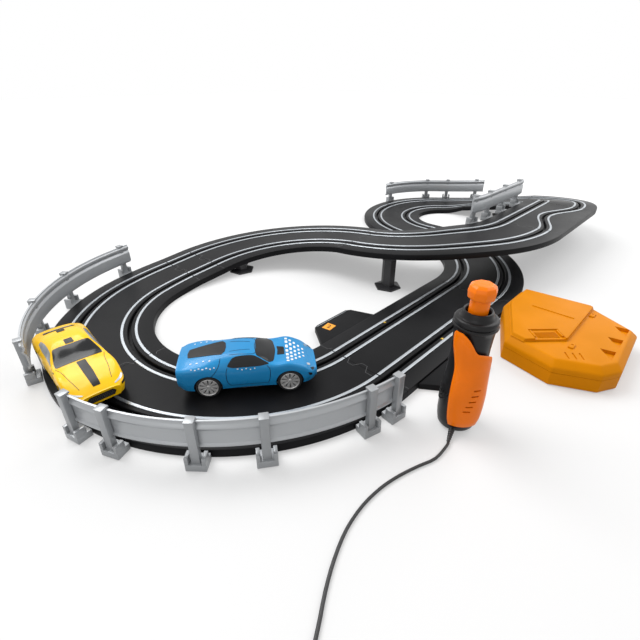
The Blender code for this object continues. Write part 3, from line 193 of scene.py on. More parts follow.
def on_lap(distance, across, up):
    """A point by distance round the lap, offset to the left and height over the underside."""
    x, y, heading = pose_at(distance)
    sideways = Vector((-math.sin(heading), math.cos(heading), 0.0)) * across
    return Vector((x, y, level(distance) + up)) + sideways


def swerve(distance):
    """How far the left lane moves in on the narrow straight."""
    share = min(max((distance - NARROW_BEGIN) / (NARROW_END - NARROW_BEGIN), 0.0), 1.0)
    return LANE_SWERVE * math.sin(math.pi * share) ** 2


# Mesh helpers

WELD = 0.000005
NEARLY = 0.000001
UP = Vector((0.0, 0.0, 1.0))


def tenths(*values):
    return tuple(value / TENTHS for value in values)


def shift(*values):
    return Matrix.Translation(tenths(*values))


def rotation(angle, axis="Z"):
    return Matrix.Rotation(angle, 4, axis)


def verts_in(geometry):
    return [item for item in geometry if isinstance(item, bmesh.types.BMVert)]


def edges_in(geometry):
    return [item for item in geometry if isinstance(item, bmesh.types.BMEdge)]


def edges_of(verts):
    return list({edge for vert in verts for edge in vert.link_edges})


def edges_within(geometry):
    """The edges of an extruded loop, without those that lead to it."""
    verts = set(verts_in(geometry))
    return [edge for edge in edges_in(geometry) if verts.issuperset(edge.verts)]


def raise_face(bm, verts, height):
    """Close a loop of vertices, extrude it upwards and return the new vertices."""
    made = bmesh.ops.extrude_face_region(bm, geom=[bm.faces.new(verts)])["geom"]
    bmesh.ops.translate(bm, verts=verts_in(made), vec=tenths(0, 0, height))
    return verts_in(made)


def round_edges(bm, edges, width, segments=2):
    bmesh.ops.bevel(
        bm, geom=edges, offset=width / TENTHS, segments=segments, profile=0.5, affect="EDGES",
        material=-1, clamp_overlap=True,
    )


def add_block(bm, size, place, rounding=0):
    """A box with rounded edges, put in place by a matrix."""
    shape = place @ Matrix.Diagonal((*tenths(*size), 1.0))
    made = bmesh.ops.create_cube(bm, size=1.0, matrix=shape)["verts"]
    if rounding:
        round_edges(bm, edges_of(made), rounding)


def add_slab(bm, low, high, place, rounding=0):
    """A box between two corners."""
    size = [b - a for a, b in zip(low, high)]
    add_block(bm, size, place @ shift(*((a + b) / 2 for a, b in zip(low, high))), rounding)


def add_turned(bm, profile, place, steps):
    """Spin (radius, height) points round an axis and weld the seam."""
    known = set(bm.verts)
    points = [bm.verts.new(tenths(radius, 0, height)) for radius, height in profile]
    lines = [bm.edges.new(pair) for pair in zip(points, points[1:])]
    bmesh.ops.spin(
        bm, geom=points + lines, cent=(0, 0, 0), axis=UP, angle=2 * math.pi, steps=steps, use_merge=True,
    )
    bmesh.ops.remove_doubles(bm, verts=[vert for vert in bm.verts if vert not in known], dist=WELD)
    bmesh.ops.transform(bm, matrix=place, verts=[vert for vert in bm.verts if vert not in known])


def add_ribbon(bm, points, normals, width):
    """A narrow band along points, square to their normals."""
    made = bmesh.ops.create_grid(bm, x_segments=len(points) - 1, y_segments=1, size=1.0)["verts"]
    made.sort(key=lambda vert: (round(vert.co.x, 5), vert.co.y))
    for i, normal in enumerate(normals):
        along = points[min(i + 1, len(points) - 1)] - points[max(i - 1, 0)]
        half = normal.cross(along).normalized() * (width / TENTHS / 2)
        made[2 * i].co = points[i] - half
        made[2 * i + 1].co = points[i] + half


def sweep(bm, outline, begin, end, step):
    """Carry a closed outline along the lap: extruded on straights and spun on curves, then lifted."""
    x, y, heading = pose_at(begin)
    left = Vector((-math.sin(heading), math.cos(heading), 0.0))
    ring = [bm.verts.new(Vector((x, y, up)) + left * across) for across, up in outline]
    edges = [bm.edges.new((ring[i - 1], ring[i])) for i in range(len(ring))]
    first_loop = edges
    marks = {vert: begin for vert in ring}
    at = begin
    for start, pose, run in LAP_RUNS:
        stop = min(start + run.length, end)
        if stop <= at + NEARLY or start >= end - NEARLY:
            continue
        length = stop - at
        count = max(1, math.ceil(length / step))
        x, y, heading = walk(pose, run, at - start)
        known = set(bm.verts)
        if run.turn == 0.0:
            way = Vector((math.cos(heading), math.sin(heading), 0.0))
            for _ in range(count):
                made = bmesh.ops.extrude_edge_only(bm, edges=edges)["geom"]
                bmesh.ops.translate(bm, verts=verts_in(made), vec=way * (length / count))
                edges = edges_within(made)
            for vert in set(bm.verts) - known:
                marks[vert] = at + way.dot(vert.co - Vector((x, y, 0.0)))
        else:
            radius = run.length / run.turn
            centre = Vector((x - radius * math.sin(heading), y + radius * math.cos(heading), 0.0))
            points = list({vert for edge in edges for vert in edge.verts})
            made = bmesh.ops.spin(
                bm, geom=points + edges, cent=centre, axis=UP, angle=length / radius, steps=count
            )["geom_last"]
            edges = edges_in(made)
            first = math.atan2(y - centre.y, x - centre.x)
            for vert in set(bm.verts) - known:
                angle = math.atan2(vert.co.y - centre.y, vert.co.x - centre.x) - first
                angle = math.remainder(angle * math.copysign(1.0, radius), 2 * math.pi)
                marks[vert] = at + angle * abs(radius)
        at = stop
    low, high = SWERVING_Y
    for vert, mark in marks.items():
        if NARROW_BEGIN < mark < NARROW_END and low < vert.co.y < high:
            vert.co.y += swerve(mark)
        vert.co.z += level(mark)
    for loop in (first_loop, edges):
        bmesh.ops.contextual_create(bm, geom=loop)


def add_object(name, bm):
    """Turn a bmesh into an object in the scene."""
    mesh = bpy.data.meshes.new(name)
    bm.to_mesh(mesh)
    bm.free()
    obj = bpy.data.objects.new(name, mesh)
    bpy.context.scene.collection.objects.link(obj)
    return obj


def shade(mesh, degrees=32):
    mesh.shade_smooth()
    mesh.set_sharp_from_angle(angle=math.radians(degrees))


def new_piece(name, bm, look, body, node=None, sharp=32, place=None):
    """Turn a bmesh into a piece that rides on a body, and may stand for a CAD node."""
    if place is not None:
        bmesh.ops.transform(bm, matrix=place, verts=bm.verts[:])
    bmesh.ops.recalc_face_normals(bm, faces=bm.faces[:])
    obj = add_object(name, bm)
    shade(obj.data, sharp)
    obj.data.materials.append(finish(look))
    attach(obj, body)
    if node:
        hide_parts(node)
    return obj


def cut_away(obj, bm):
    """Cut a helper solid out of a piece, after its other modifiers."""
    bmesh.ops.recalc_face_normals(bm, faces=bm.faces[:])
    cutter = add_object("cutter", bm)
    obj.modifiers.new("cut", "BOOLEAN").object = cutter
    bpy.context.view_layer.update()
    graph = bpy.context.evaluated_depsgraph_get()
    spare = [obj.data, cutter.data]
    made = bpy.data.meshes.new_from_object(obj.evaluated_get(graph))
    obj.modifiers.clear()
    obj.data = made
    bpy.data.objects.remove(cutter)
    for mesh in spare:
        bpy.data.meshes.remove(mesh)
    shade(made)


# Settings


def tint(name, words, default):
    return FloatVectorProperty(
        name=name, description=words, subtype="COLOR", size=3, min=0.0, max=1.0, default=default
    )


def size(name, words, default):
    return FloatProperty(name=name, description=words, unit="LENGTH", default=default, precision=5)


def angle(name, words, degrees):
    return FloatProperty(name=name, description=words, subtype="ANGLE", default=math.radians(degrees))


class TrackSettings(bpy.types.PropertyGroup):
    """Sizes and colours of the track, its rails and its guard rails."""

    deck_colour: tint("Deck", "Colour of the track's black moulding", (0.0055, 0.0056, 0.0062))
    # The deck's paler patches stand for rubbed wear and for painted sheen, laid at random by the grain
    # noise.
    deck_sheen: tint(
        "Deck patches", "Colour of the deck's paler, rubbed patches", (0.0095, 0.0095, 0.0105)
    )
    rail_colour: tint("Rails", "Colour of the plated conductor strips", (0.47, 0.50, 0.53))
    guard_colour: tint("Guard rails", "Colour of the guard rails' moulding", (0.42, 0.435, 0.45))
    label_colour: tint("Label", "Colour of the lane labels", (0.90, 0.36, 0.02))
    rail_offset: size("Rail offset", "From a slot's middle to a strip's middle", 0.0069)
    rail_width: size("Rail width", "Width of a conductor strip", 0.0027)
    slot_width: size("Slot width", "Width of the guide slot", 0.0032)
    slot_depth: size("Slot depth", "Depth of the guide slot", 0.0048)
    step: size("Step", "Length of one facet along the lap", 0.0045)


class CarSettings(bpy.types.PropertyGroup):
    """Colours of the two cars."""

    yellow: tint("Yellow paint", "Colour of the yellow car", (0.92, 0.530, 0.002))
    blue: tint("Blue paint", "Colour of the blue car", (0.015, 0.245, 0.54))
    glass: tint("Windows", "Colour of the tinted windows", (0.010, 0.011, 0.012))
    trim: tint("Trim", "Colour of stripes, grilles and vents", (0.007, 0.006, 0.006))
    rim: tint("Wheel rims", "Colour of the wheel rims", (0.62, 0.61, 0.60))
    spokes: IntProperty(name="Spokes", description="Spokes in each wheel", default=10, min=3, max=24)


class HandSettings(bpy.types.PropertyGroup):
    """Colours of the hand controller, its lead and the battery box."""

    handle: tint("Handle", "Colour of the handle's housing", (0.0085, 0.0080, 0.0085))
    grip: tint("Covers", "Colour of the side covers and the plunger", (0.97, 0.200, 0.001))
    cord: tint("Lead", "Colour of the lead", (0.016, 0.016, 0.017))
    case: tint("Battery box", "Colour of the battery box", (0.67, 0.228, 0.001))


class StageSettings(bpy.types.PropertyGroup):
    """Camera, floor and light."""

    camera_place: FloatVectorProperty(
        name="Camera place", description="Where the camera stands", subtype="TRANSLATION", size=3,
        default=(-0.35225, -0.184, 0.2311), precision=5,
    )
    camera_heading: angle("Heading", "Direction of view from the X axis", 43.57)
    camera_pitch: angle("Pitch", "How far the camera looks down", 30.04)
    lens: FloatProperty(name="Lens", description="Focal length", default=23.625, unit="CAMERA")
    floor_colour: tint("Floor", "Colour of the floor", (0.46, 0.46, 0.46))


# Finishes: a colour may name a setting, and the second colour may be a share of the first

Look = namedtuple(
    "Look", "colour second patch grain rough bump metallic coat specular share",
    defaults=(0.86, 30.0, 900.0, (0.35, 0.5), 0.05, 0.0, 0.0, 0.5, 1.0),
)
PAINT = {
    "patch": 35.0, "grain": 2200.0, "rough": (0.24, 0.32), "bump": 0.02, "coat": 0.12, "specular": 0.2,
}
GUARD = {"colour": "slot_track.guard_colour", "patch": 24.0, "grain": 1200.0}
METAL = {"patch": 90.0, "metallic": 1.0}
LOOKS = {
    # The deck's second colour gives its paler patches: rubbed wear and painted sheen.
    "deck_black": Look(
        "slot_track.deck_colour", "slot_track.deck_sheen", 16.0, 1500.0, (0.32, 0.44), 0.1, specular=0.08
    ),
    "rail_plating": Look("slot_track.rail_colour", 0.86, 90.0, 2500.0, (0.30, 0.42), 0.03, 0.75),
    "guard_plastic": Look(**GUARD, second=0.96, rough=(0.30, 0.32), bump=0.0, metallic=0.4),
    "post_plastic": Look(**GUARD, rough=(0.3, 0.42), bump=0.02, metallic=0.3, share=0.80),
    "seam_grey": Look((0.045, 0.045, 0.048), patch=80.0, rough=(0.5, 0.6)),
    "label_orange": Look("slot_track.label_colour", patch=60.0, rough=(0.4, 0.5)),
    "contact_brass": Look((0.80, 0.52, 0.08), patch=80.0, rough=(0.25, 0.35), metallic=0.9),
    "support_plastic": Look((0.018, 0.018, 0.020), patch=40.0, rough=(0.38, 0.5), bump=0.1),
    "yellow_paint": Look("slot_cars.yellow", **PAINT),
    "blue_paint": Look("slot_cars.blue", **PAINT),
    "body_inside": Look((0.012, 0.012, 0.013), rough=(0.5, 0.6)),
    "window_tint": Look("slot_cars.glass", 1.0, 25.0, rough=(0.12, 0.13), bump=0.0, specular=0.28),
    "side_window_silver": Look(
        (0.26, 0.28, 0.30), (0.10, 0.11, 0.12), 60.0, rough=(0.12, 0.2), bump=0.0
    ),
    "trim_black": Look("slot_cars.trim", patch=60.0, rough=(0.28, 0.4), bump=0.04, specular=0.22),
    "lamp_silver": Look((0.62, 0.66, 0.70), patch=200.0, rough=(0.15, 0.3), metallic=0.6, coat=0.5),
    "confetti_white": Look((0.80, 0.82, 0.84), patch=90.0, rough=(0.35, 0.45), bump=0.02),
    "grille_grey": Look((0.05, 0.05, 0.052), patch=90.0, rough=(0.4, 0.5)),
    "tyre_tread": Look((0.016, 0.016, 0.017), 0.86, 60.0, 1800.0, (0.6, 0.75), 0.2),
    "rim_silver": Look("slot_cars.rim", patch=120.0, rough=(0.30, 0.4), bump=0.02, metallic=0.35),
    "rim_shadow": Look((0.03, 0.03, 0.032), rough=(0.5, 0.6)),
    "chassis_plastic": Look((0.018, 0.018, 0.019), rough=(0.45, 0.58), bump=0.1),
    "gear_nylon": Look((0.78, 0.77, 0.72), rough=(0.4, 0.5)),
    "pinion_brass": Look((0.70, 0.48, 0.16), **METAL, rough=(0.25, 0.4)),
    "plated_steel": Look((0.58, 0.58, 0.60), **METAL, rough=(0.2, 0.3)),
    "handle_plastic": Look("slot_hand.handle", 0.86, 50.0, 1600.0, (0.28, 0.40), 0.12, specular=0.22),
    "cover_orange": Look("slot_hand.grip", 0.86, 40.0, 2000.0, (0.26, 0.36), 0.04, specular=0.2),
    "lead_sheath": Look("slot_hand.cord", 0.86, 90.0, 2500.0, (0.4, 0.5), 0.06),
    "case_orange": Look("slot_hand.case", 0.86, 18.0, 1400.0, (0.36, 0.48), 0.1, specular=0.05),
}
BUMP_DEPTH = 0.0003
COAT_ROUGHNESS = 0.08
FINISHES = {}


def add_node(tree, kind, inputs, **values):
    """A node with its own values set, then its inputs."""
    node = tree.nodes.new(kind)
    for name, value in values.items():
        setattr(node, name, value)
    return feed(tree, node, inputs)


def feed(tree, node, inputs):
    """Set a node's inputs by name or number: an output is linked, anything else is a fixed value."""
    for name, value in inputs.items():
        if isinstance(value, bpy.types.NodeSocket):
            tree.links.new(value, node.inputs[name])
        else:
            node.inputs[name].default_value = value
    return node


def grain_group():
    """Moulding grain: patchy tone and roughness, and a fine texture height."""
    group = bpy.data.node_groups.get("moulding_grain")
    if group:
        return group
    group = bpy.data.node_groups.new("moulding_grain", "ShaderNodeTree")
    ways = {
        "INPUT": ("Colour", "Second Colour", "Patch Scale", "Grain Scale", "Rough Low", "Rough High"),
        "OUTPUT": ("Colour", "Roughness", "Height"),
    }
    for way, names in ways.items():
        for name in names:
            kind = "NodeSocketColor" if name.endswith("Colour") else "NodeSocketFloat"
            group.interface.new_socket(name, in_out=way, socket_type=kind)
    given = group.nodes.new("NodeGroupInput").outputs
    place = group.nodes.new("ShaderNodeTexCoord").outputs["Object"]
    patch = add_node(
        group, "ShaderNodeTexNoise", {"Vector": place, "Scale": given["Patch Scale"], "Detail": 4.0}
    )
    spread = add_node(
        group, "ShaderNodeMapRange", {"Value": patch.outputs["Fac"], "From Min": 0.35, "From Max": 0.68}
    ).outputs["Result"]
    tone = add_node(
        group, "ShaderNodeMix", {"Factor": spread, "A": given["Colour"], "B": given["Second Colour"]},
        data_type="RGBA",
    )
    gloss = add_node(
        group, "ShaderNodeMix", {"Factor": spread, "A": given["Rough Low"], "B": given["Rough High"]}
    )
    grain = add_node(
        group, "ShaderNodeTexNoise", {"Vector": place, "Scale": given["Grain Scale"], "Detail": 2.0}
    )
    feed(group, group.nodes.new("NodeGroupOutput"), {
        "Colour": tone.outputs["Result"],
        "Roughness": gloss.outputs["Result"],
        "Height": grain.outputs["Fac"],
    })
    return group


def colour_of(value, share=1.0):
    """A colour from its numbers or from a setting, times a share."""
    if isinstance(value, str):
        group, name = value.split(".")
        value = getattr(getattr(bpy.context.scene, group), name)
    return tuple(part * share for part in tuple(value)[:3])


def finish(name):
    """The material of that name, made once with the moulding grain group."""
    if name in FINISHES:
        return FINISHES[name]
    look = LOOKS[name]
    colour = colour_of(look.colour, look.share)
    second = colour_of(colour, look.second) if isinstance(look.second, float) else colour_of(look.second)
    material = FINISHES[name] = bpy.data.materials.new(name)
    material.use_nodes = True
    tree = material.node_tree
    grain = add_node(tree, "ShaderNodeGroup", {
        "Colour": (*colour, 1.0),
        "Second Colour": (*second, 1.0),
        "Patch Scale": look.patch,
        "Grain Scale": look.grain,
        "Rough Low": look.rough[0],
        "Rough High": look.rough[1],
    }, node_tree=grain_group(), location=(-420, 0))
    texture = add_node(tree, "ShaderNodeBump", {
        "Strength": look.bump,
        "Distance": BUMP_DEPTH,
        "Height": grain.outputs["Height"],
    }, location=(-220, -260))
    feed(tree, tree.nodes["Principled BSDF"], {
        "Base Color": grain.outputs["Colour"],
        "Roughness": grain.outputs["Roughness"],
        "Normal": texture.outputs["Normal"],
        "Metallic": look.metallic,
        "Coat Weight": look.coat,
        "Coat Roughness": COAT_ROUGHNESS,
        "Specular IOR Level": look.specular,
    })
    return material


def repaint(node, look):
    """Give a CAD node a better finish."""
    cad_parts[node].data.materials[0] = finish(look)


# Track

SLOT_LIP = 0.0006
DECK_SHEET = 0.0022
CHANNEL_WALL = 0.0012
SKIRT = 0.0018


def deck_outline(settings):
    """Cross-section of a track section: rounded edges, two slots, and hollow below."""
    half, top = TRACK_WIDTH / 2, DECK_HEIGHT
    under = top - DECK_SHEET
    floor = top - settings.slot_depth
    channel = floor - CHANNEL_WALL
    slot = settings.slot_width / 2
    wall = slot + CHANNEL_WALL
    edge = [(half, 0.0), (half, top - 0.0014), (half - 0.0004, top - 0.0004), (half - 0.0014, top)]
    lip = [(slot + SLOT_LIP, top), (slot, top - SLOT_LIP), (slot, floor)]
    points = list(edge)
    for lane in (LANE_OFFSET, -LANE_OFFSET):
        points += [(lane + w, z) for w, z in lip] + [(lane - w, z) for w, z in reversed(lip)]
    points += [(-w, z) for w, z in reversed(edge)]
    points += [(SKIRT - half, 0.0), (SKIRT - half, under)]
    for lane in (-LANE_OFFSET, LANE_OFFSET):
        points += [(lane - wall, under), (lane - wall, channel)]
        points += [(lane + wall, channel), (lane + wall, under)]
    return points + [(half - SKIRT, under), (half - SKIRT, 0.0)]


class SLOTTRACK_OT_sections(bpy.types.Operator):
    """Make the track sections with their guide slots"""

    bl_idname = "slot_track.sections"
    bl_label = "Track Sections"

    def execute(self, context):
        settings = context.scene.slot_track
        for name, (begin, end) in SPANS.items():
            bm = bmesh.new()
            sweep(bm, deck_outline(settings), begin + GAP / 2, end - GAP / 2, settings.step)
            new_piece(f"{name}_deck", bm, "deck_black", "track", name)
        return {"FINISHED"}


# Conductor strips: side of the lane and side of its slot
RAILS = {
    "left_lane_outer_rail": (1, 1),
    "left_lane_inner_rail": (1, -1),
    "right_lane_inner_rail": (-1, 1),
    "right_lane_outer_rail": (-1, -1),
}
RAIL_LOW = DECK_HEIGHT + 0.00003
RAIL_HIGH = DECK_HEIGHT + 0.0006
RAIL_GAP = 0.0007


class SLOTTRACK_OT_rails(bpy.types.Operator):
    """Make the conductor strips, one length for each section"""

    bl_idname = "slot_track.rails"
    bl_label = "Conductor Rails"

    def execute(self, context):
        settings = context.scene.slot_track
        half = settings.rail_width / 2
        side = [(half, RAIL_LOW), (half, RAIL_HIGH - 0.0002), (half - 0.0003, RAIL_HIGH)]
        for name, (lane, way) in RAILS.items():
            middle = lane * LANE_OFFSET + way * settings.rail_offset
            outline = [(middle + w, z) for w, z in side] + [(middle - w, z) for w, z in reversed(side)]
            bm = bmesh.new()
            for begin, end in SPANS.values():
                sweep(bm, outline, begin + RAIL_GAP, end - RAIL_GAP, settings.step)
            new_piece(f"{name}_strip", bm, "rail_plating", "track", name)
        return {"FINISHED"}


# Joint line in three lengths that stay clear of the lanes: (across, ahead)
SEAMS = (
    ((490, 0), (400, 0), (375, 40)),
    ((160, 40), (120, -40), (60, -40), (15, 40), (-45, 40), (-90, -40), (-160, -40)),
    ((-365, -40), (-400, 30), (-490, 30)),
)
SEAM_HEIGHT = DECK_HEIGHT + 0.00004
SEAM_WIDTH = 5


class SLOTTRACK_OT_seams(bpy.types.Operator):
    """Draw the stepped joint line between each section and the next"""

    bl_idname = "slot_track.seams"
    bl_label = "Joint Lines"

    def execute(self, context):
        bm = bmesh.new()
        for joint, _ in SPANS.values():
            for chain in SEAMS:
                points = [
                    on_lap((joint + ahead / TENTHS) % LAP_LENGTH, across / TENTHS, SEAM_HEIGHT)
                    for across, ahead in chain
                ]
                add_ribbon(bm, points, [UP] * len(points), SEAM_WIDTH)
        new_piece("section_joint_lines", bm, "seam_grey", "track")
        return {"FINISHED"}


# Guard rails: side of the track, first and last distance, shares of the posts
GUARDS = {
    "left_guard_rail": (
        -1, into("front_curve_1", CURVE_RADIUS, 11), into("front_curve_1", CURVE_RADIUS, 80),
        (0.04, 0.39, 0.65, 0.96),
    ),
    "front_guard_rail": (
        -1, into("front_curve_1", CURVE_RADIUS, 103), into("front_curve_1", CURVE_RADIUS, 174),
        (0.02, 0.16, 0.40, 0.58, 0.88, 0.98),
    ),
    "rear_guard_rail": (
        1, into("rear_curve_2", REAR_RADIUS, 8), into("rear_curve_2", REAR_RADIUS, 86),
        (0.075, 0.465, 0.66, 0.925),
    ),
    "flyover_guard_rail": (-1, NARROW_BEGIN + 0.02, NARROW_END + 0.05, (0.06, 0.36, 0.64, 0.94)),
}
# Inner face of a beam from its lower edge up: (away from the track, height)
BEAM = (
    (60, 180), (59, 190), (46, 200), (45, 206), (45, 308), (47, 316), (58, 333), (60, 341), (58, 349),
    (47, 362), (45, 368), (45, 386), (47, 392), (58, 399), (60, 410),
)
BEAM_SHEET = 16
# Upright, cap, clip, foot and two cheeks of a post: lower corner, upper corner, rounding
POST = (
    ((-31, 64, 30), (31, 112, 420), 4),
    ((-34, 45, 411), (34, 114, 426), 3),
    ((-22, 55, 325), (22, 75, 357), 4),
    ((-74, 10, 2), (74, 130, 58), 4),
    ((-74, 46, 50), (-46, 128, 118), 4),
    ((46, 46, 50), (74, 128, 118), 4),
)


class SLOTTRACK_OT_guard_rails(bpy.types.Operator):
    """Make the two-ridge guard rails and their posts"""

    bl_idname = "slot_track.guard_rails"
    bl_label = "Guard Rails"

    def execute(self, context):
        half = TRACK_WIDTH / 2
        outline = BEAM + tuple((off + BEAM_SHEET, up) for off, up in reversed(BEAM))
        for name, (side, begin, end, posts) in GUARDS.items():
            bm = bmesh.new()
            ring = [(side * (half + off / TENTHS), up / TENTHS) for off, up in outline]
            sweep(bm, ring, begin, end, context.scene.slot_track.step)
            new_piece(f"{name}_beam", bm, "guard_plastic", "track", name, 40)
            bm = bmesh.new()
            for share in posts:
                distance = begin + (end - begin) * share
                place = Matrix.Translation(on_lap(distance, side * half, 0.0))
                place = place @ rotation(pose_at(distance)[2]) @ Matrix.Scale(side, 4, (0, 1, 0))
                for low, high, rounding in POST:
                    add_slab(bm, low, high, place, rounding)
            new_piece(f"{name}_posts", bm, "post_plastic", "track")
        return {"FINISHED"}


# Terminals: side of the track, and start along the connection straight
TERMINALS = {"left_terminal": (1, 30), "right_terminal": (-1, 160)}
TERMINAL = ((0, 3), (840, 3), (745, 262), (690, 300), (245, 300), (190, 285), (158, 235))
TERMINAL_HEIGHT = 55
LABEL = (300, 185)
LABEL_HEIGHT = TERMINAL_HEIGHT + 1
LABEL_TURN = math.radians(8)
NUMBER_TURN = math.radians(-70)
NUMBER_HEIGHT = LABEL_HEIGHT + 2.5
NUMBER_SIZE = 0.009
NUMBER_DEPTH = 0.00006


def terminal_place(node):
    """Where a terminal begins, on the edge of the connection straight."""
    side, start = TERMINALS[node]
    return Matrix.Translation((start / TENTHS - CONNECTION_LENGTH / 2, side * TRACK_WIDTH / 2, 0.0))


class SLOTTRACK_OT_power_base(bpy.types.Operator):
    """Make the terminals beside the connection straight, with lane labels and contacts"""

    bl_idname = "slot_track.power_base"
    bl_label = "Power Base"

    def execute(self, context):
        rims, labels, contacts = bmesh.new(), bmesh.new(), bmesh.new()
        for node, (side, _) in TERMINALS.items():
            place = terminal_place(node)
            bm = bmesh.new()
            outline = [bm.verts.new(tenths(x, side * y, 0)) for x, y in TERMINAL]
            top = raise_face(bm, outline, TERMINAL_HEIGHT)
            round_edges(bm, edges_of(top), 8, 3)
            new_piece(f"{node}_plate", bm, "deck_black", "track", node, place=place)
            add_block(rims, (460, 7, 4), place @ shift(450, side * 275, LABEL_HEIGHT), 1)
            label = place @ shift(LABEL[0], side * LABEL[1], LABEL_HEIGHT)
            add_block(labels, (115, 100, 3), label @ rotation(LABEL_TURN), 1)
            add_block(contacts, (28, 22, 6), place @ shift(750, side * -200, 73), 2)
        new_piece("terminal_rims", rims, "rail_plating", "track")
        new_piece("lane_labels", labels, "label_orange", "track")
        new_piece("lane_contacts", contacts, "contact_brass", "track")
        self.add_number()
        repaint("power_base_cover", "deck_black")
        return {"FINISHED"}

    def add_number(self):
        """The plain lane number on the left terminal's label."""
        text = bpy.data.curves.new("lane_number", "FONT")
        text.body = "2"
        text.size = NUMBER_SIZE
        text.extrude = NUMBER_DEPTH
        text.align_x = "CENTER"
        text.align_y = "CENTER"
        sample = bpy.data.objects.new("lane_number_text", text)
        bpy.context.scene.collection.objects.link(sample)
        bpy.context.view_layer.update()
        graph = bpy.context.evaluated_depsgraph_get()
        mesh = bpy.data.meshes.new_from_object(sample.evaluated_get(graph))
        bpy.data.objects.remove(sample)
        bm = bmesh.new()
        bm.from_mesh(mesh)
        bpy.data.meshes.remove(mesh)
        place = terminal_place("left_terminal") @ shift(*LABEL, NUMBER_HEIGHT) @ rotation(NUMBER_TURN)
        new_piece("lane_number", bm, "trim_black", "track", place=place)


class SLOTTRACK_OT_supports(bpy.types.Operator):
    """Finish the bridge supports"""

    bl_idname = "slot_track.supports"
    bl_label = "Bridge Supports"

    def execute(self, context):
        for name in ("tall", "low", "narrow", "end", "rise"):
            repaint(f"{name}_support", "support_plastic")
        return {"FINISHED"}


# Cars

# Body sections from tail to nose: share of the length, then (share of half width, share of height)
# at the sill, waist, belt line and roof edge, and the crown's share of height
BODIES = {
    "yellow": (
        (0, 720, 260, 800, 400, 780, 660, 550, 720, 740),
        (60, 900, 220, 950, 400, 920, 700, 600, 770, 790),
        (170, 950, 210, 1000, 420, 950, 745, 600, 900, 930),
        (300, 940, 200, 990, 420, 930, 730, 610, 970, 1000),
        (450, 930, 200, 980, 420, 920, 710, 620, 960, 985),
        (600, 930, 200, 980, 420, 930, 700, 720, 760, 800),
        (700, 940, 200, 990, 420, 950, 715, 620, 735, 745),
        (800, 940, 200, 1000, 420, 950, 715, 600, 710, 715),
        (900, 900, 210, 950, 400, 900, 600, 520, 620, 640),
        (960, 800, 220, 860, 380, 820, 500, 480, 545, 560),
        (1000, 600, 240, 660, 360, 620, 460, 400, 490, 500),
    ),
    "blue": (
        (0, 740, 280, 840, 440, 820, 720, 550, 780, 800),
        (60, 900, 220, 970, 440, 940, 770, 600, 830, 850),
        (180, 950, 210, 1000, 440, 960, 800, 600, 900, 920),
        (300, 920, 210, 970, 430, 910, 760, 580, 950, 970),
        (450, 900, 210, 950, 420, 880, 740, 600, 970, 1000),
        (570, 900, 210, 950, 420, 890, 730, 640, 920, 950),
        (700, 930, 210, 980, 420, 940, 750, 660, 780, 800),
        (800, 950, 210, 1000, 420, 960, 770, 660, 790, 750),
        (900, 920, 220, 970, 400, 920, 660, 580, 690, 680),
        (960, 820, 240, 900, 380, 860, 520, 500, 570, 570),
        (1000, 600, 260, 680, 360, 640, 460, 420, 500, 510),
    ),
}


def through(rows, place):
    """A smooth curve through rows of numbers, read at a place counted in rows."""
    i = min(max(int(place), 0), len(rows) - 2)
    t = place - i
    b, c = rows[i], rows[i + 1]
    a = rows[i - 1] if i else 2 * b - c
    d = rows[i + 2] if i + 2 < len(rows) else 2 * c - b
    return b + 0.5 * t * (c - a + t * (2 * a - 5 * b + 4 * c - d + t * (3 * (b - c) + d - a)))


def smooth(rows, count):
    """That many evenly spaced readings of the curve through rows."""
    return np.array([through(rows, place) for place in np.linspace(0, len(rows) - 1, count)])


FORMS = {prefix: smooth(np.array(rows) / THOUSANDTHS, 401) for prefix, rows in BODIES.items()}


def body_point(form, share, around):
    """A point on a body: share of the length from the tail, around from left sill to right sill."""
    row = [np.interp(share, form[:, 0], form[:, k]) for k in range(1, 10)]
    half = [(row[i], row[i + 1]) for i in (0, 2, 4, 6)]
    points = np.array(half + [(0.0, row[8])] + [(-w, z) for w, z in reversed(half)])
    wide, high = through(points, (around + 1.0) * 4.0)
    return Vector((TAIL_X + CAR_LENGTH * share, wide * CAR_WIDTH / 2, high * CAR_HEIGHT))


def body_normal(form, share, around):
    step = 0.004
    along = body_point(form, share + step, around) - body_point(form, share - step, around)
    across = body_point(form, share, around + step) - body_point(form, share, around - step)
    return across.cross(along).normalized()


def car_matrix(prefix):
    """Where a car stands on the front curve, with its guide pin in its lane's slot."""
    side, degrees = CAR_SPOTS[prefix]
    radius = math.sqrt((CURVE_RADIUS - side * LANE_OFFSET) ** 2 - GUIDE_AHEAD ** 2)
    around = math.radians(degrees)
    spot = Vector((radius * math.cos(around), radius * math.sin(around), DECK_HEIGHT + GAP))
    return Matrix.Translation(FRONT_CENTRE + spot) @ rotation(around + math.pi / 2)


PANEL_STEP = np.array((0.012, 0.022))
PANEL_RINGS = 7
PANEL_LIFT = 0.00025
PANEL_THICKNESS = 0.0004
PANEL_WELD = 0.000002
CORNER_SHARE = 0.16
CORNER_PASSES = 3


def rounded(corners, share):
    """Cut the corners of a closed outline again and again until it is round."""
    points = np.array(corners) / THOUSANDTHS
    for _ in range(CORNER_PASSES):
        after = np.roll(points, -1, axis=0)
        points = np.stack((points + (after - points) * share, after + (points - after) * share), axis=1)
        points = points.reshape(-1, 2)
    dense = []
    for here, after in zip(points, np.roll(points, -1, axis=0)):
        steps = math.ceil(max(abs(after - here) / PANEL_STEP))
        dense += [here + (after - here) * i / steps for i in range(steps)]
    return np.array(dense)


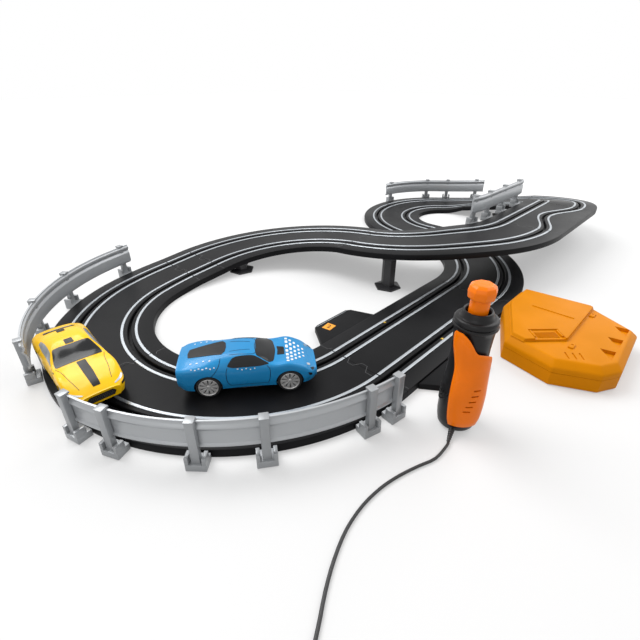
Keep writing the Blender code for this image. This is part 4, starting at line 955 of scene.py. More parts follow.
def add_panel(bm, form, corners, rounding):
    """A thin panel that follows the body inside an outline of (share, around) corners."""
    outline = rounded(corners, rounding)
    middle = outline.mean(axis=0)
    count = len(outline)
    made = bmesh.ops.create_grid(bm, x_segments=count, y_segments=PANEL_RINGS, size=1.0)["verts"]
    for vert in made:
        edge = outline[round((vert.co.x + 1.0) / 2 * count) % count]
        share, around = middle + (edge - middle) * ((vert.co.y + 1.0) / 2)
        vert.co = body_point(form, share, around) + body_normal(form, share, around) * PANEL_LIFT
    bmesh.ops.remove_doubles(bm, verts=made, dist=PANEL_WELD)
    faces = list({face for vert in made if vert.is_valid for face in vert.link_faces})
    bmesh.ops.recalc_face_normals(bm, faces=faces)
    if sum(face.normal.z for face in faces) < 0:
        bmesh.ops.reverse_faces(bm, faces=faces)
    bmesh.ops.solidify(bm, geom=faces, thickness=PANEL_THICKNESS)


def both_sides(panels):
    """Each panel, followed by its mirror image."""
    return [
        [(share, side * around) for share, around in corners] for corners in panels for side in (1, -1)
    ]


def square(share, around, length, width):
    """Corners of a small panel round a spot on the body."""
    return [
        (share + x * length / 2, around + y * width / 2) for x, y in ((-1, -1), (1, -1), (1, 1), (-1, 1))
    ]


# Panels as (share, around) corners; sides, vents and lamps are on both sides
PANELS = {
    "yellow": {
        "screens": (
            ((472, -250), (474, 0), (472, 250), (632, 315), (642, 0), (632, -315)),
            ((95, -215), (180, -235), (180, 235), (95, 215)),
        ),
        "sides": (((262, 330), (330, 305), (485, 300), (588, 432), (360, 440), (255, 405)),),
        "stripes": (
            ((655, -58), (950, -64), (950, 64), (655, 58)),
            ((195, -56), (250, -56), (250, 56), (195, 56)),
            ((405, -56), (465, -56), (465, 56), (405, 56)),
        ),
        "vents": (
            ((930, 600), (982, 520), (988, 620), (945, 700)),
            ((652, 475), (674, 470), (678, 500), (656, 505)),
        ),
        "lamps": (((912, 500), (948, 392), (976, 290), (982, 330), (960, 435), (926, 530)),),
    },
    "blue": {
        "screens": ((
            (562, -206), (559, 0), (562, 206), (612, 258), (656, 326), (688, 250), (706, 0), (688, -250),
            (656, -326), (612, -258),
        ),),
        "sides": ((
            (400, 270), (545, 218), (598, 272), (650, 352), (652, 400), (590, 462), (400, 486),
            (352, 450),
        ),),
        "stripes": (
            ((70, -105), (315, -185), (340, -110), (345, 0), (340, 110), (315, 185), (70, 105), (62, 0)),
            ((716, -100), (772, -85), (772, 85), (716, 100), (722, 0)),
        ),
        "vents": (
            ((955, 400), (978, 370), (988, 445), (970, 480)),
            ((935, 600), (962, 585), (968, 680), (945, 690)),
        ),
        "lamps": (((928, 285), (952, 265), (957, 325), (934, 350)),),
    },
}
# How far the corners of windows and stripes are rounded
WINDOW_CORNERS = {"yellow": 0.06, "blue": 0.14}
STRIPE_CORNERS = 0.06
SIDE_WINDOWS = {"yellow": "side_window_silver", "blue": "window_tint"}
# Shut lines as chains of (share, around) points
LINES = {
    "yellow": (
        ((300, 455), (290, 560), (305, 700), (330, 880)),
        ((600, 450), (612, 560), (605, 720), (590, 880)),
        ((640, 350), (760, 300), (930, 270)),
        ((330, 880), (590, 880)),
    ),
    "blue": (
        ((355, 480), (345, 600), (350, 760), (372, 880)),
        ((640, 455), (660, 560), (655, 720), (640, 880)),
        ((310, 270), (298, 420), (268, 560), (235, 640)),
        ((372, 880), (640, 880)),
        ((372, 215), (545, 185), (552, 0)),
        ((372, 130), (520, 95)),
    ),
}
LINE_LIFT = 0.00008
LINE_WIDTH = 4.2
# Grilles: width, height and number of upright bars, and the outline in shares of both
GRILLES = {"yellow": (215, 50, 15), "blue": (130, 34, 9)}
GRILLE = ((-0.5, -0.40), (-0.5, 0.40), (-0.1, 0.5), (0.5, 0.42), (0.5, -0.42), (-0.1, -0.5))
GRILLE_SPOT = (TAIL_X + CAR_LENGTH + 0.0005, 0.0, 0.375 * CAR_HEIGHT)
GRILLE_DEPTH = 7
BAR_SHARE = 0.84
BAR_STEP = 0.27


def confetti():
    """Small white squares that thin out along the blue car's bonnet, doors and rear wings."""
    bonnet = []
    for row in range(5):
        for column in range(-4, 5):
            around = 98 * column + 49 * (row % 2)
            if abs(around) < 340 - 45 * row:
                bonnet.append(square(793 + 30 * row, around, 20.5 - 1.8 * row, 60 - 5 * row))
    spots = [square(110 + 26 * i, 455 + 22 * (i % 2), 14 - 1.6 * abs(i - 3), 26) for i in range(7)]
    spots += [square(430 + 30 * i, 505 + 18 * (i % 2), 12 - i, 20) for i in range(5)]
    spots += [square(100 + 45 * i, 270 + 18 * (i % 2), 13, 22) for i in range(4)]
    return bonnet + both_sides(spots)


BODY_WALL = 0.0010
END_INSET = 0.0012
END_BULGE = 0.0006
ARCH_DEPTH = 0.020
ARCH_ROOM = 0.0006


class SLOTTRACK_OT_car_bodies(bpy.types.Operator):
    """Mould the two car bodies with their wheel arches"""

    bl_idname = "slot_track.car_bodies"
    bl_label = "Car Bodies"

    def execute(self, context):
        for prefix in FORMS:
            self.mould(prefix)
        return {"FINISHED"}

    def mould(self, prefix):
        form, place = FORMS[prefix], car_matrix(prefix)
        bm = bmesh.new()
        grid = bmesh.ops.create_grid(bm, x_segments=110, y_segments=56, size=1.0)["verts"]
        ends = {-1: [], 1: []}
        for vert in grid:
            if abs(vert.co.x) > 0.9999:
                ends[round(vert.co.x)].append((vert.co.y, vert))
            vert.co = body_point(form, (vert.co.x + 1.0) / 2, vert.co.y)
        for way, chain in ends.items():
            chain.sort(key=lambda item: item[0])
            cap = bm.faces.new([vert for _, vert in chain])
            bmesh.ops.inset_region(bm, faces=[cap], thickness=END_INSET, depth=0.0)
            for vert in cap.verts:
                vert.co.x += way * END_BULGE
        bmesh.ops.recalc_face_normals(bm, faces=bm.faces[:])
        if sum(face.normal.z * face.calc_area() for face in bm.faces) < 0:
            bmesh.ops.reverse_faces(bm, faces=bm.faces[:])
        bmesh.ops.transform(bm, matrix=place, verts=bm.verts[:])
        shell = add_object(f"{prefix}_shell", bm)
        for look in (f"{prefix}_paint", "body_inside"):
            shell.data.materials.append(finish(look))
        wall = shell.modifiers.new("wall", "SOLIDIFY")
        wall.thickness = BODY_WALL
        wall.offset = -1.0
        wall.material_offset = 1
        arches = bmesh.new()
        middle = WHEEL_INNER - ARCH_ROOM + ARCH_DEPTH / 2
        for end in (-1, 1):
            for side in (1, -1):
                spot = Matrix.Translation((end * WHEELBASE / 2, side * middle, WHEEL_RADIUS))
                bmesh.ops.create_cone(
                    arches, cap_ends=True, segments=48, radius1=ARCH_RADIUS, radius2=ARCH_RADIUS,
                    depth=ARCH_DEPTH, matrix=place @ spot @ rotation(math.pi / 2, "X"),
                )
        cut_away(shell, arches)
        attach(shell, f"{prefix}_car")
        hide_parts(f"{prefix}_body")


class SLOTTRACK_OT_car_panels(bpy.types.Operator):
    """Lay the windows, stripes, lamps and vents over the car bodies"""

    bl_idname = "slot_track.car_panels"
    bl_label = "Car Windows and Trim"

    def execute(self, context):
        for prefix, panels in PANELS.items():
            corners, node = WINDOW_CORNERS[prefix], f"{prefix}_glazing"
            self.lay(prefix, "screens", panels["screens"], "window_tint", "window", corners, node)
            sides = both_sides(panels["sides"])
            self.lay(prefix, "side_windows", sides, SIDE_WINDOWS[prefix], "window", corners)
            dark = list(panels["stripes"]) + both_sides(panels["vents"])
            self.lay(prefix, "trim", dark, "trim_black", "chassis", STRIPE_CORNERS)
            self.lay(prefix, "lamps", both_sides(panels["lamps"]), "lamp_silver", "steel")
            self.draw_lines(prefix)
            self.add_grille(prefix)
        self.lay("blue", "confetti", confetti(), "confetti_white", "blue_shell")
        return {"FINISHED"}

    def lay(self, prefix, part, outlines, look, slot, rounding=CORNER_SHARE, node=None):
        bm = bmesh.new()
        for corners in outlines:
            add_panel(bm, FORMS[prefix], corners, rounding)
        place = car_matrix(prefix)
        new_piece(f"{prefix}_{part}", bm, look, f"{prefix}_car", node, place=place)

    def draw_lines(self, prefix):
        """Fine shut lines, and the grille's dark plate."""
        form = FORMS[prefix]
        bm = bmesh.new()
        for chain in LINES[prefix]:
            spots = smooth(np.array(chain) / THOUSANDTHS, 8 * len(chain))
            for side in (1, -1):
                normals = [body_normal(form, share, side * around) for share, around in spots]
                points = [
                    body_point(form, share, side * around) + normal * LINE_LIFT
                    for (share, around), normal in zip(spots, normals)
                ]
                add_ribbon(bm, points, normals, LINE_WIDTH)
        wide, tall, _ = GRILLES[prefix]
        plate = [bm.verts.new(tenths(x * tall, y * wide, 0)) for x, y in GRILLE]
        front = raise_face(bm, plate, GRILLE_DEPTH)
        grille = Matrix.Translation(GRILLE_SPOT) @ rotation(math.pi / 2, "Y")
        bmesh.ops.transform(bm, matrix=grille, verts=plate + front)
        place = car_matrix(prefix)
        new_piece(f"{prefix}_lines", bm, "trim_black", f"{prefix}_car", place=place)

    def add_grille(self, prefix):
        """Bars across the grille's plate."""
        wide, tall, uprights = GRILLES[prefix]
        place = car_matrix(prefix) @ Matrix.Translation(GRILLE_SPOT) @ rotation(math.pi / 2, "Y")
        bm = bmesh.new()
        for i in (-1, 0, 1):
            add_block(bm, (3, wide * BAR_SHARE, 3), place @ shift(i * tall * BAR_STEP, 0, GRILLE_DEPTH))
        for i in range(uprights):
            across = wide * BAR_SHARE * (i / (uprights - 1) - 0.5)
            add_block(bm, (tall * BAR_SHARE, 2, 3), place @ shift(0, across, GRILLE_DEPTH))
        new_piece(f"{prefix}_grille_bars", bm, "grille_grey", f"{prefix}_car")


# Wheel profiles: radius, and depth behind the wheel's outer face
WHEEL_FACE = WHEEL_OUTER * TENTHS
TYRE = (
    (79, 12), (80, 3), (86, 0), (93, 2), (98, 9), (100, 18), (100, 38), (97, 40), (100, 42), (100, 70),
    (96, 80), (79, 78), (79, 12),
)
# The hub is a near-black dish behind the spokes: painted shade inside the wheel.
HUB = ((0, 30), (74, 30), (78, 77), (10, 77), (10, WHEEL_FACE))
RIM = ((70, 29), (72, 5), (76, 1), (79, 4), (79, 29), (70, 29))
CAP = ((0, 6), (12, 6), (17, 10), (18, 29), (0, 29))
# Spoke at the hub and at the rim: width, and depth behind the face
SPOKE_ENDS = ((9, 16), (31, 13))
GEAR_LOOKS = {
    "chassis": "chassis_plastic",
    "guide_pin": "chassis_plastic",
    "crown_gear": "gear_nylon",
    "motor": "plated_steel",
    "pinion": "pinion_brass",
}


class SLOTTRACK_OT_wheels(bpy.types.Operator):
    """Turn the tyres and the spoked rims, and finish the running gear"""

    bl_idname = "slot_track.wheels"
    bl_label = "Wheels and Running Gear"

    def execute(self, context):
        spokes = context.scene.slot_cars.spokes
        for prefix in CAR_SPOTS:
            for end, way in (("front", 1), ("rear", -1)):
                axle = Matrix.Translation((way * WHEELBASE / 2, 0.0, WHEEL_RADIUS))
                self.make_pair(f"{prefix}_{end}", car_matrix(prefix) @ axle, spokes)
            for part, look in GEAR_LOOKS.items():
                repaint(f"{prefix}_{part}", look)
        return {"FINISHED"}

    def make_pair(self, name, place, spokes):
        tyres, rims, hubs = bmesh.new(), bmesh.new(), bmesh.new()
        turnings = ((tyres, TYRE, 56), (hubs, HUB, 40), (rims, RIM, 56), (rims, CAP, 20))
        for side in (1, -1):
            axle = place @ rotation(side * -math.pi / 2, "X")
            for bm, profile, steps in turnings:
                add_turned(bm, [(radius, WHEEL_FACE - depth) for radius, depth in profile], axle, steps)
            for i in range(spokes):
                self.add_spoke(rims, axle @ rotation(2 * math.pi * i / spokes))
        body = f"{name}_wheels"
        new_piece(f"{name}_tyres", tyres, "tyre_tread", body, f"{name}_wheelset")
        new_piece(f"{name}_rims", rims, "rim_silver", body)
        # The hubs' near-black finish is painted shade between the spokes.
        new_piece(f"{name}_hubs", hubs, "rim_shadow", body)

    def add_spoke(self, bm, place):
        """A spoke that widens from the hub to the rim."""
        known = set(bm.verts)
        made = bmesh.ops.create_cube(bm, size=1.0)["verts"]
        for vert in made:
            x, y, z = vert.co
            wide, depth = SPOKE_ENDS[x > 0]
            vert.co = tenths(44 + x * 58, y * wide, WHEEL_FACE - depth + z * 12)
        round_edges(bm, edges_of(made), 2)
        bmesh.ops.transform(bm, matrix=place, verts=[vert for vert in bm.verts if vert not in known])


# Hand controller

CONTROLLER = Vector((0.0015 - CONNECTION_LENGTH / 2, -0.0925, 0.0))
CONTROLLER_TURN = math.radians(118)
CONTROLLER_PLACE = Matrix.Translation(CONTROLLER) @ rotation(CONTROLLER_TURN)
HANDLE_HEIGHT = 990
# Rings of the housing up its outside and down into its bore: height, half width, half depth
HANDLE_RINGS = (
    (0, 110, 100), (12, 122, 113), (30, 134, 125), (80, 143, 134), (139, 148, 140), (240, 148, 142),
    (347, 146, 142), (450, 139, 136), (554, 132, 129), (640, 129, 126), (713, 129, 126), (780, 132, 129),
    (832, 135, 133), (866, 140, 138), (874, 150, 149), (886, 152, 151), (894, 149, 148), (897, 142, 141),
    (901, 142, 141), (905, 147, 146), (924, 147, 146), (934, 141, 140), (939, 132, 132), (939, 116, 116),
    (944, 111, 111), (960, 104, 104), (980, 101, 101), (988, 97, 97), (990, 90, 90), (986, 83, 83),
    (975, 80, 80), (622, 80, 80),
)
OUTER_RINGS = np.array(HANDLE_RINGS[:14]) / TENTHS
# Edges of a side cover from the bottom up: share of its height, front and rear edge in degrees
COVER_EDGES = np.array((
    (0.000, 68.0, 139.0), (0.104, 63.0, 152.0), (0.274, 59.0, 158.0), (0.457, 57.0, 160.0),
    (0.627, 56.0, 160.0), (0.738, 49.0, 156.0), (0.783, 45.0, 130.0), (0.804, 43.0, 108.0),
    (0.842, 40.0, 96.0), (0.901, 37.5, 86.0), (0.947, 37.0, 77.0), (0.979, 38.0, 69.0),
    (1.000, 40.0, 60.0),
))
COVER_LOW = 0.010
COVER_TOP = 0.0866
COVER_SHEET = 0.0012
COVER_LIFT = 0.0014
COVER_CROWN = 0.0010
MARK_LIFT = 0.0017
# Marks cut in a cover: degrees round the handle and height
COVER_MARKS = ((119.0, 0.0440), (116.0, 0.0392), (112.0, 0.0346), (107.0, 0.0301), (103.0, 0.0257))
RIB_HEIGHT = 0.036
RIB_RADII = (50, 75, 100, 125)
RIB_SWING = math.radians(72)
RIB_BLOCKS = 30
RIB_SINK = 0.0001
# Plunger: button from the top down, over its neck, then the stem
BUTTON = ((0, 98), (62, 101), (86, 86), (96, 58), (90, 6), (82, 0), (0, 0))
BUTTON_LOW = HANDLE_HEIGHT + 86
BUTTON_TURN = math.radians(12)
STEM_RADIUS = 64
STEM_LOW = HANDLE_HEIGHT - 205
# Spring between the bore's floor and the stem
SPRING_RADIUS = 45
SPRING_WIRE = 4
SPRING_TURNS = 4
SPRING_STEPS = 24
SPRING_LOW = HANDLE_HEIGHT - 370 + 7
SPRING_RISE = STEM_LOW - 7 - SPRING_LOW


def on_handle(angle, height, lift):
    """A point on the housing, by angle in radians and height, and how far outside it."""
    wide, deep = (np.interp(height, OUTER_RINGS[:, 0], OUTER_RINGS[:, k]) for k in (1, 2))
    return Vector(((wide + lift) * math.cos(angle), (deep + lift) * math.sin(angle), height))


class SLOTTRACK_OT_controller(bpy.types.Operator):
    """Make the hand controller: housing, side covers, plunger, spring and finger ribs"""

    bl_idname = "slot_track.controller"
    bl_label = "Hand Controller"

    def execute(self, context):
        self.make_housing()
        self.make_cover("left_side_cover", 1)
        self.make_cover("right_side_cover", -1)
        self.make_plunger()
        self.make_spring()
        bm = bmesh.new()
        for radius in RIB_RADII:
            self.add_rib(bm, radius)
        new_piece("controller_grip_ribs", bm, "handle_plastic", "track", place=CONTROLLER_PLACE)
        return {"FINISHED"}

    def make_housing(self):
        bm = bmesh.new()
        loop = bmesh.ops.create_circle(bm, segments=64, radius=1.0)["verts"]
        edges = edges_of(loop)
        bottom = bmesh.ops.contextual_create(bm, geom=edges)["faces"][0]
        for i, (height, wide, deep) in enumerate(HANDLE_RINGS):
            if i:
                made = bmesh.ops.extrude_edge_only(bm, edges=edges)["geom"]
                loop = verts_in(made)
                edges = edges_within(made)
            for vert in loop:
                around = math.atan2(vert.co.y, vert.co.x)
                vert.co = tenths(wide * math.cos(around), deep * math.sin(around), height)
        bmesh.ops.contextual_create(bm, geom=edges)
        round_edges(bm, list(bottom.edges), 8)
        new_piece(
            "controller_housing", bm, "handle_plastic", "track", "handle_housing", 45,
            CONTROLLER_PLACE,
        )

    def make_cover(self, name, way):
        """A cover that sweeps forward at its top, with short marks cut low in its rear."""
        table = smooth(COVER_EDGES, 81)
        bm = bmesh.new()
        for vert in bmesh.ops.create_grid(bm, x_segments=30, y_segments=110, size=1.0)["verts"]:
            x, y, _ = vert.co
            share = (y + 1.0) / 2
            front, rear = (np.interp(share, table[:, 0], table[:, k]) for k in (1, 2))
            around = math.radians(way * (front + (rear - front) * (x + 1.0) / 2))
            lift = COVER_LIFT + COVER_CROWN * (1.0 - x ** 6) * (1.0 - y ** 10)
            vert.co = on_handle(around, COVER_LOW + (COVER_TOP - COVER_LOW) * share, lift)
        bmesh.ops.recalc_face_normals(bm, faces=bm.faces[:])
        bmesh.ops.solidify(bm, geom=bm.faces[:], thickness=COVER_SHEET)
        panel = new_piece(
            f"{name}_panel", bm, "cover_orange", "track", name, 50, CONTROLLER_PLACE
        )
        marks = bmesh.new()
        for degrees, height in COVER_MARKS:
            around = math.radians(way * degrees)
            spot = Matrix.Translation(on_handle(around, height, MARK_LIFT)) @ rotation(around)
            add_block(marks, (50, 54, 12), CONTROLLER_PLACE @ spot, 3)
        cut_away(panel, marks)

    def add_rib(self, bm, radius):
        """A finger rib on the front of the housing: the lower arc of a circle, wrapped round it."""
        for i in range(RIB_BLOCKS + 1):
            swing = RIB_SWING * (2 * i / RIB_BLOCKS - 1)
            height = RIB_HEIGHT - radius / TENTHS * math.cos(swing)
            around = radius / TENTHS * math.sin(swing) / on_handle(0.0, height, 0.0).x
            spot = Matrix.Translation(on_handle(around, height, -RIB_SINK))
            add_block(bm, (14, radius * 0.12, 11), spot @ rotation(around) @ rotation(swing, "X"), 3)

    def make_plunger(self):
        """An eight-sided button on a round stem."""
        bm = bmesh.new()
        profile = [(radius, BUTTON_LOW + height) for radius, height in BUTTON]
        add_turned(bm, profile, rotation(BUTTON_TURN), 8)
        round_edges(bm, [edge for edge in bm.edges if edge.calc_face_angle(0.0) > 0.2], 7, 3)
        neck = BUTTON_LOW + 10
        stem = ((0, neck), (STEM_RADIUS, neck), (STEM_RADIUS, STEM_LOW), (0, STEM_LOW))
        add_turned(bm, stem, Matrix(), 56)
        new_piece(
            "plunger_button", bm, "cover_orange", "plunger", "plunger", 40, CONTROLLER_PLACE
        )

    def make_spring(self):
        """Coil spring on the floor of the bore, under the plunger's stem, made at rest."""
        steps = SPRING_TURNS * SPRING_STEPS
        bm = bmesh.new()
        start = shift(SPRING_RADIUS, 0, SPRING_LOW) @ rotation(math.pi / 2, "X")
        bmesh.ops.create_circle(bm, segments=10, radius=SPRING_WIRE / TENTHS, matrix=start)
        bmesh.ops.spin(
            bm, geom=bm.edges[:], cent=(0, 0, 0), axis=UP, dvec=tenths(0, 0, SPRING_RISE / steps),
            angle=2 * math.pi * SPRING_TURNS, steps=steps,
        )
        bmesh.ops.holes_fill(bm, edges=[edge for edge in bm.edges if edge.is_boundary], sides=0)
        coil = new_piece(
            "plunger_coil", bm, "plated_steel", "track", "plunger_spring", 60, CONTROLLER_PLACE
        )
        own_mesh(coil)


# Lead, as in the solids, but into its coil along a tangent

CORD_RADIUS = 0.0011
CORD_ROUTE = (
    (-420, -1010), (-560, -960), (-720, -910), (-880, -880), (-1060, -875), (-1250, -905), (-1430, -970),
    (-1590, -1050), (-1740, -1140), (-1880, -1210),
)
CORD_FLOOR = 0.0012
COIL_CENTRE = Vector((-0.2075, -0.1440, 0.0))
COIL_OUTER = 0.0190
COIL_TURNS = 4
COIL_CLIMB = 0.5
COIL_PITCH = 0.0030
COIL_POINTS = 24
COIL_TAIL = 0.022
TAIL_POINTS = 8
TIE_TURN = math.radians(160)
TIE_ROOM = 0.0016
TIE_WIDTH = 0.0026
TIE_SHEET = 0.0003
TIE_HEIGHTS = (0.0001, CORD_FLOOR + COIL_PITCH + CORD_RADIUS + 0.0002)
PLUG_RADIUS = 0.0035
PLUG_GRIP = 160
PLUG_PIN = (
    (0, 280), (8, 278), (16, 264), (17, 256), (13, 248), (17.5, 240), (17.5, 201), (15, 200), (15, 192),
    (17.5, 191), (17.5, PLUG_GRIP), (0, PLUG_GRIP),
)
RELIEF_LENGTH = 0.011
RELIEF_HEIGHT = 0.0045
RELIEF_RADIUS = 24
RELIEF_RIBS = 6
RELIEF_GROOVE = 0.82
LEAD_TURN = math.radians(197)
LEAD_HEIGHT = 0.0069
# Lowest rings of the solid handle: height, half width and half depth
LOW_RINGS = np.array(((0.0, 0.76, 0.74), (0.03, 0.90, 0.90), (0.14, 0.99, 1.0))) * (0.099, 0.015, 0.014)
LEAD_WAY = Vector((math.cos(LEAD_TURN), math.sin(LEAD_TURN), 0.0))
SHIFT = Vector((-CONNECTION_LENGTH / 2, 0.0, 0.0))


def lead_start():
    """Distance from the handle's axis at which the strain relief begins."""
    wide, deep = (np.interp(LEAD_HEIGHT, LOW_RINGS[:, 0], LOW_RINGS[:, k]) for k in (1, 2))
    around = LEAD_TURN - CONTROLLER_TURN
    return 1.0 / math.hypot(math.cos(around) / wide, math.sin(around) / deep) + GAP


def lead_exit(reach):
    """A point on the floor side of the strain relief, by distance from the handle's axis."""
    spot = CONTROLLER + LEAD_WAY * reach
    spot.z = CORD_FLOOR + CORD_RADIUS / 2
    return spot


def coil_points():
    """The stored coil: in on the floor, up a layer, out on top, then a tail to the plug."""
    arrival = Vector((*tenths(*CORD_ROUTE[-1]), 0.0)) - COIL_CENTRE
    heading = math.atan2(arrival.y, arrival.x)
    first = math.acos(COIL_OUTER / arrival.length) / (2 * math.pi)
    total = 2 * COIL_TURNS + COIL_CLIMB
    points = []
    for turn in np.linspace(first, total, int(total * COIL_POINTS) + 1):
        inward = min(turn, COIL_TURNS)
        outward = max(turn - COIL_TURNS - COIL_CLIMB, 0.0)
        climb = min(max((turn - COIL_TURNS) / COIL_CLIMB, 0.0), 1.0)
        radius = COIL_OUTER - COIL_PITCH * (inward - outward)
        around = heading + 2 * math.pi * turn
        height = CORD_FLOOR + COIL_PITCH * climb ** 2 * (3 - 2 * climb)
        spot = Vector((radius * math.cos(around), radius * math.sin(around), height))
        points.append(COIL_CENTRE + spot)
    start = points[-1]
    way = (start - points[-2]).normalized()
    side = Vector((*(start - COIL_CENTRE).xy, 0.0)).normalized()
    drop = Vector((0.0, 0.0, PLUG_RADIUS + GAP - start.z))
    for i in range(1, TAIL_POINTS + 1):
        share = i / TAIL_POINTS
        out = way * (COIL_TAIL * share) + side * (COIL_TAIL * 0.25 * share ** 2)
        points.append(start + out + drop * share ** 2 * (3 - 2 * share))
    return points


class SLOTTRACK_OT_lead(bpy.types.Operator):
    """Lay the controller's lead from its strain relief to the coil, the tie and the jack plug"""

    bl_idname = "slot_track.lead"
    bl_label = "Controller Lead"

    def execute(self, context):
        leave = lead_exit(lead_start() + RELIEF_LENGTH + GAP) - SHIFT
        coil = coil_points()
        entry = (coil[0] - coil[1]).normalized()
        route = [leave, leave + LEAD_WAY * (4 * CORD_RADIUS)]
        route += [Vector((*tenths(x, y), CORD_FLOOR)) for x, y in CORD_ROUTE]
        route += [coil[0] + entry * (6 * CORD_RADIUS), coil[0]]
        run = [Vector(row) for row in smooth(np.array([tuple(point) for point in route]), 40)]
        points = [point + SHIFT for point in run + coil[1:]]
        curve = bpy.data.curves.new("controller_lead", "CURVE")
        curve.dimensions = "3D"
        curve.bevel_depth = CORD_RADIUS
        curve.bevel_resolution = 3
        curve.use_fill_caps = True
        spline = curve.splines.new("POLY")
        spline.points.add(len(points) - 1)
        for item, point in zip(spline.points, points):
            item.co = (*point, 1.0)
        curve.materials.append(finish("lead_sheath"))
        lead = bpy.data.objects.new("controller_lead", curve)
        context.scene.collection.objects.link(lead)
        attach(lead, "track")
        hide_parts("controller_cord", "cord_coil")
        along = (points[-1] - points[-2]).normalized()
        plug = self.make_plug(points[-1] + along * GAP, along)
        tie = self.make_tie()
        self.make_relief()
        return {"FINISHED"}

    def make_plug(self, spot, along):
        """A moulded jack plug with a ridged grip and a plated pin."""
        heading = rotation(math.atan2(along.y, along.x))
        place = Matrix.Translation(spot) @ heading @ rotation(math.pi / 2, "Y")
        profile = [(0, PLUG_GRIP), (30, PLUG_GRIP), (35, 155)]
        for low in (140, 118, 96, 74):
            profile += [(35, low), (31, low - 4), (31, low - 8), (35, low - 12)]
        profile += [(32, 45), (18, 5), (16, 0), (0, 0)]
        bm = bmesh.new()
        add_turned(bm, profile, place, 32)
        grip = new_piece("jack_plug_grip", bm, "lead_sheath", "track", "jack_plug")
        bm = bmesh.new()
        add_turned(bm, PLUG_PIN, place, 28)
        pin = new_piece("jack_plug_pin", bm, "plated_steel", "track")
        pin.parent = grip
        return grip

    def make_tie(self):
        """A wire tie round one side of the coil."""
        bm = bmesh.new()
        near = COIL_OUTER - COIL_PITCH * COIL_TURNS - TIE_ROOM
        far = COIL_OUTER + TIE_ROOM
        low, high = TIE_HEIGHTS
        corners = ((near, low), (far, low), (far, high), (near, high))
        loop = [bm.verts.new((x, -TIE_WIDTH / 2, z)) for x, z in corners]
        ring = [bm.edges.new((loop[i - 1], loop[i])) for i in range(len(loop))]
        made = bmesh.ops.extrude_edge_only(bm, edges=ring)["geom"]
        bmesh.ops.translate(bm, verts=verts_in(made), vec=(0.0, TIE_WIDTH, 0.0))
        bmesh.ops.recalc_face_normals(bm, faces=bm.faces[:])
        bmesh.ops.solidify(bm, geom=bm.faces[:], thickness=-TIE_SHEET)
        place = Matrix.Translation(COIL_CENTRE + SHIFT) @ rotation(TIE_TURN)
        return new_piece("coil_tie", bm, "lead_sheath", "track", place=place)

    def make_relief(self):
        """The ribbed, tapered sleeve where the lead leaves the handle."""
        start = lead_exit(lead_start())
        start.z = RELIEF_HEIGHT
        axis = lead_exit(lead_start() + RELIEF_LENGTH) - start
        length = axis.length * TENTHS
        tip = CORD_RADIUS * 1.25 * TENTHS
        profile = [(0, length)]
        for i in range(RELIEF_RIBS):
            share = i / RELIEF_RIBS
            radius = tip + (RELIEF_RADIUS - tip) * share
            at = length * (1.0 - share)
            groove = radius * RELIEF_GROOVE
            profile += [(radius, at), (radius, at - 10), (groove, at - 11), (groove, at - 16)]
        profile += [(RELIEF_RADIUS, 0), (0, 0)]
        bm = bmesh.new()
        place = Matrix.Translation(start) @ axis.normalized().to_track_quat("Z", "Y").to_matrix().to_4x4()
        add_turned(bm, profile, place, 28)
        new_piece("relief_sleeve", bm, "lead_sheath", "track", "strain_relief")


# Battery box, as in the solids

BOX_PLACE = Matrix.Translation((0.160 - CONNECTION_LENGTH / 2, -0.112, 0.0))
BOX_OUTLINE = (
    (660, 595), (180, 595), (-500, 300), (-620, -165), (-455, -510), (-280, -610), (460, -580),
    (730, -120),
)
BOX_GAP = GAP * TENTHS
BOX_SPLIT = 130
BOX_HEIGHT = 240
BOX_SHOULDER = 60
BOX_REACH = 600
BAY = ((-200, -60, 25), (420, 320, 600))
SEAM_Y = -135
DOOR_CUT_X = -198
DOOR_LOW = BOX_HEIGHT + BOX_GAP
DOOR_HIGH = DOOR_LOW + 30
# Straight cuts through the door's outline: a point on each, and the way out
DOOR_CUTS = (((0, SEAM_Y, 0), (0.0, -1.0, 0.0)), ((DOOR_CUT_X, SEAM_Y, 0), (-1.0, -1.0, 0.0)))
# Length, width and depth of the finger recess, and its distance along the slanting cut
RECESS = (280, 160, 14)
RECESS_ALONG = 155 / math.sqrt(2)
VENTS = ((-442, -208), (-408, -259), (-372, -305))
VENT_TURN = math.radians(36)
DIMPLES = (340, 80, -180)
DIMPLE_Y = -445
# A dimple's corners: across, along and depth
DIMPLE = ((-85, -60, 3), (85, -60, 34), (57, 60, 34))
LATCHES = ((480, -172), (-265, -195))


def add_case(bm, rings):
    """Skin outlines of the case, given as heights with insets, and close both ends."""
    rows = []
    for height, inset in rings:
        share = 1.0 - inset / BOX_REACH
        rows.append([bm.verts.new(tenths(x * share, y * share, height)) for x, y in BOX_OUTLINE])
    loops = [[bm.edges.new((row[i - 1], row[i])) for i in range(len(row))] for row in rows]
    for low, high in zip(loops, loops[1:]):
        bmesh.ops.bridge_loops(bm, edges=low + high)
    for row in (rows[0], rows[-1]):
        bm.faces.new(row)


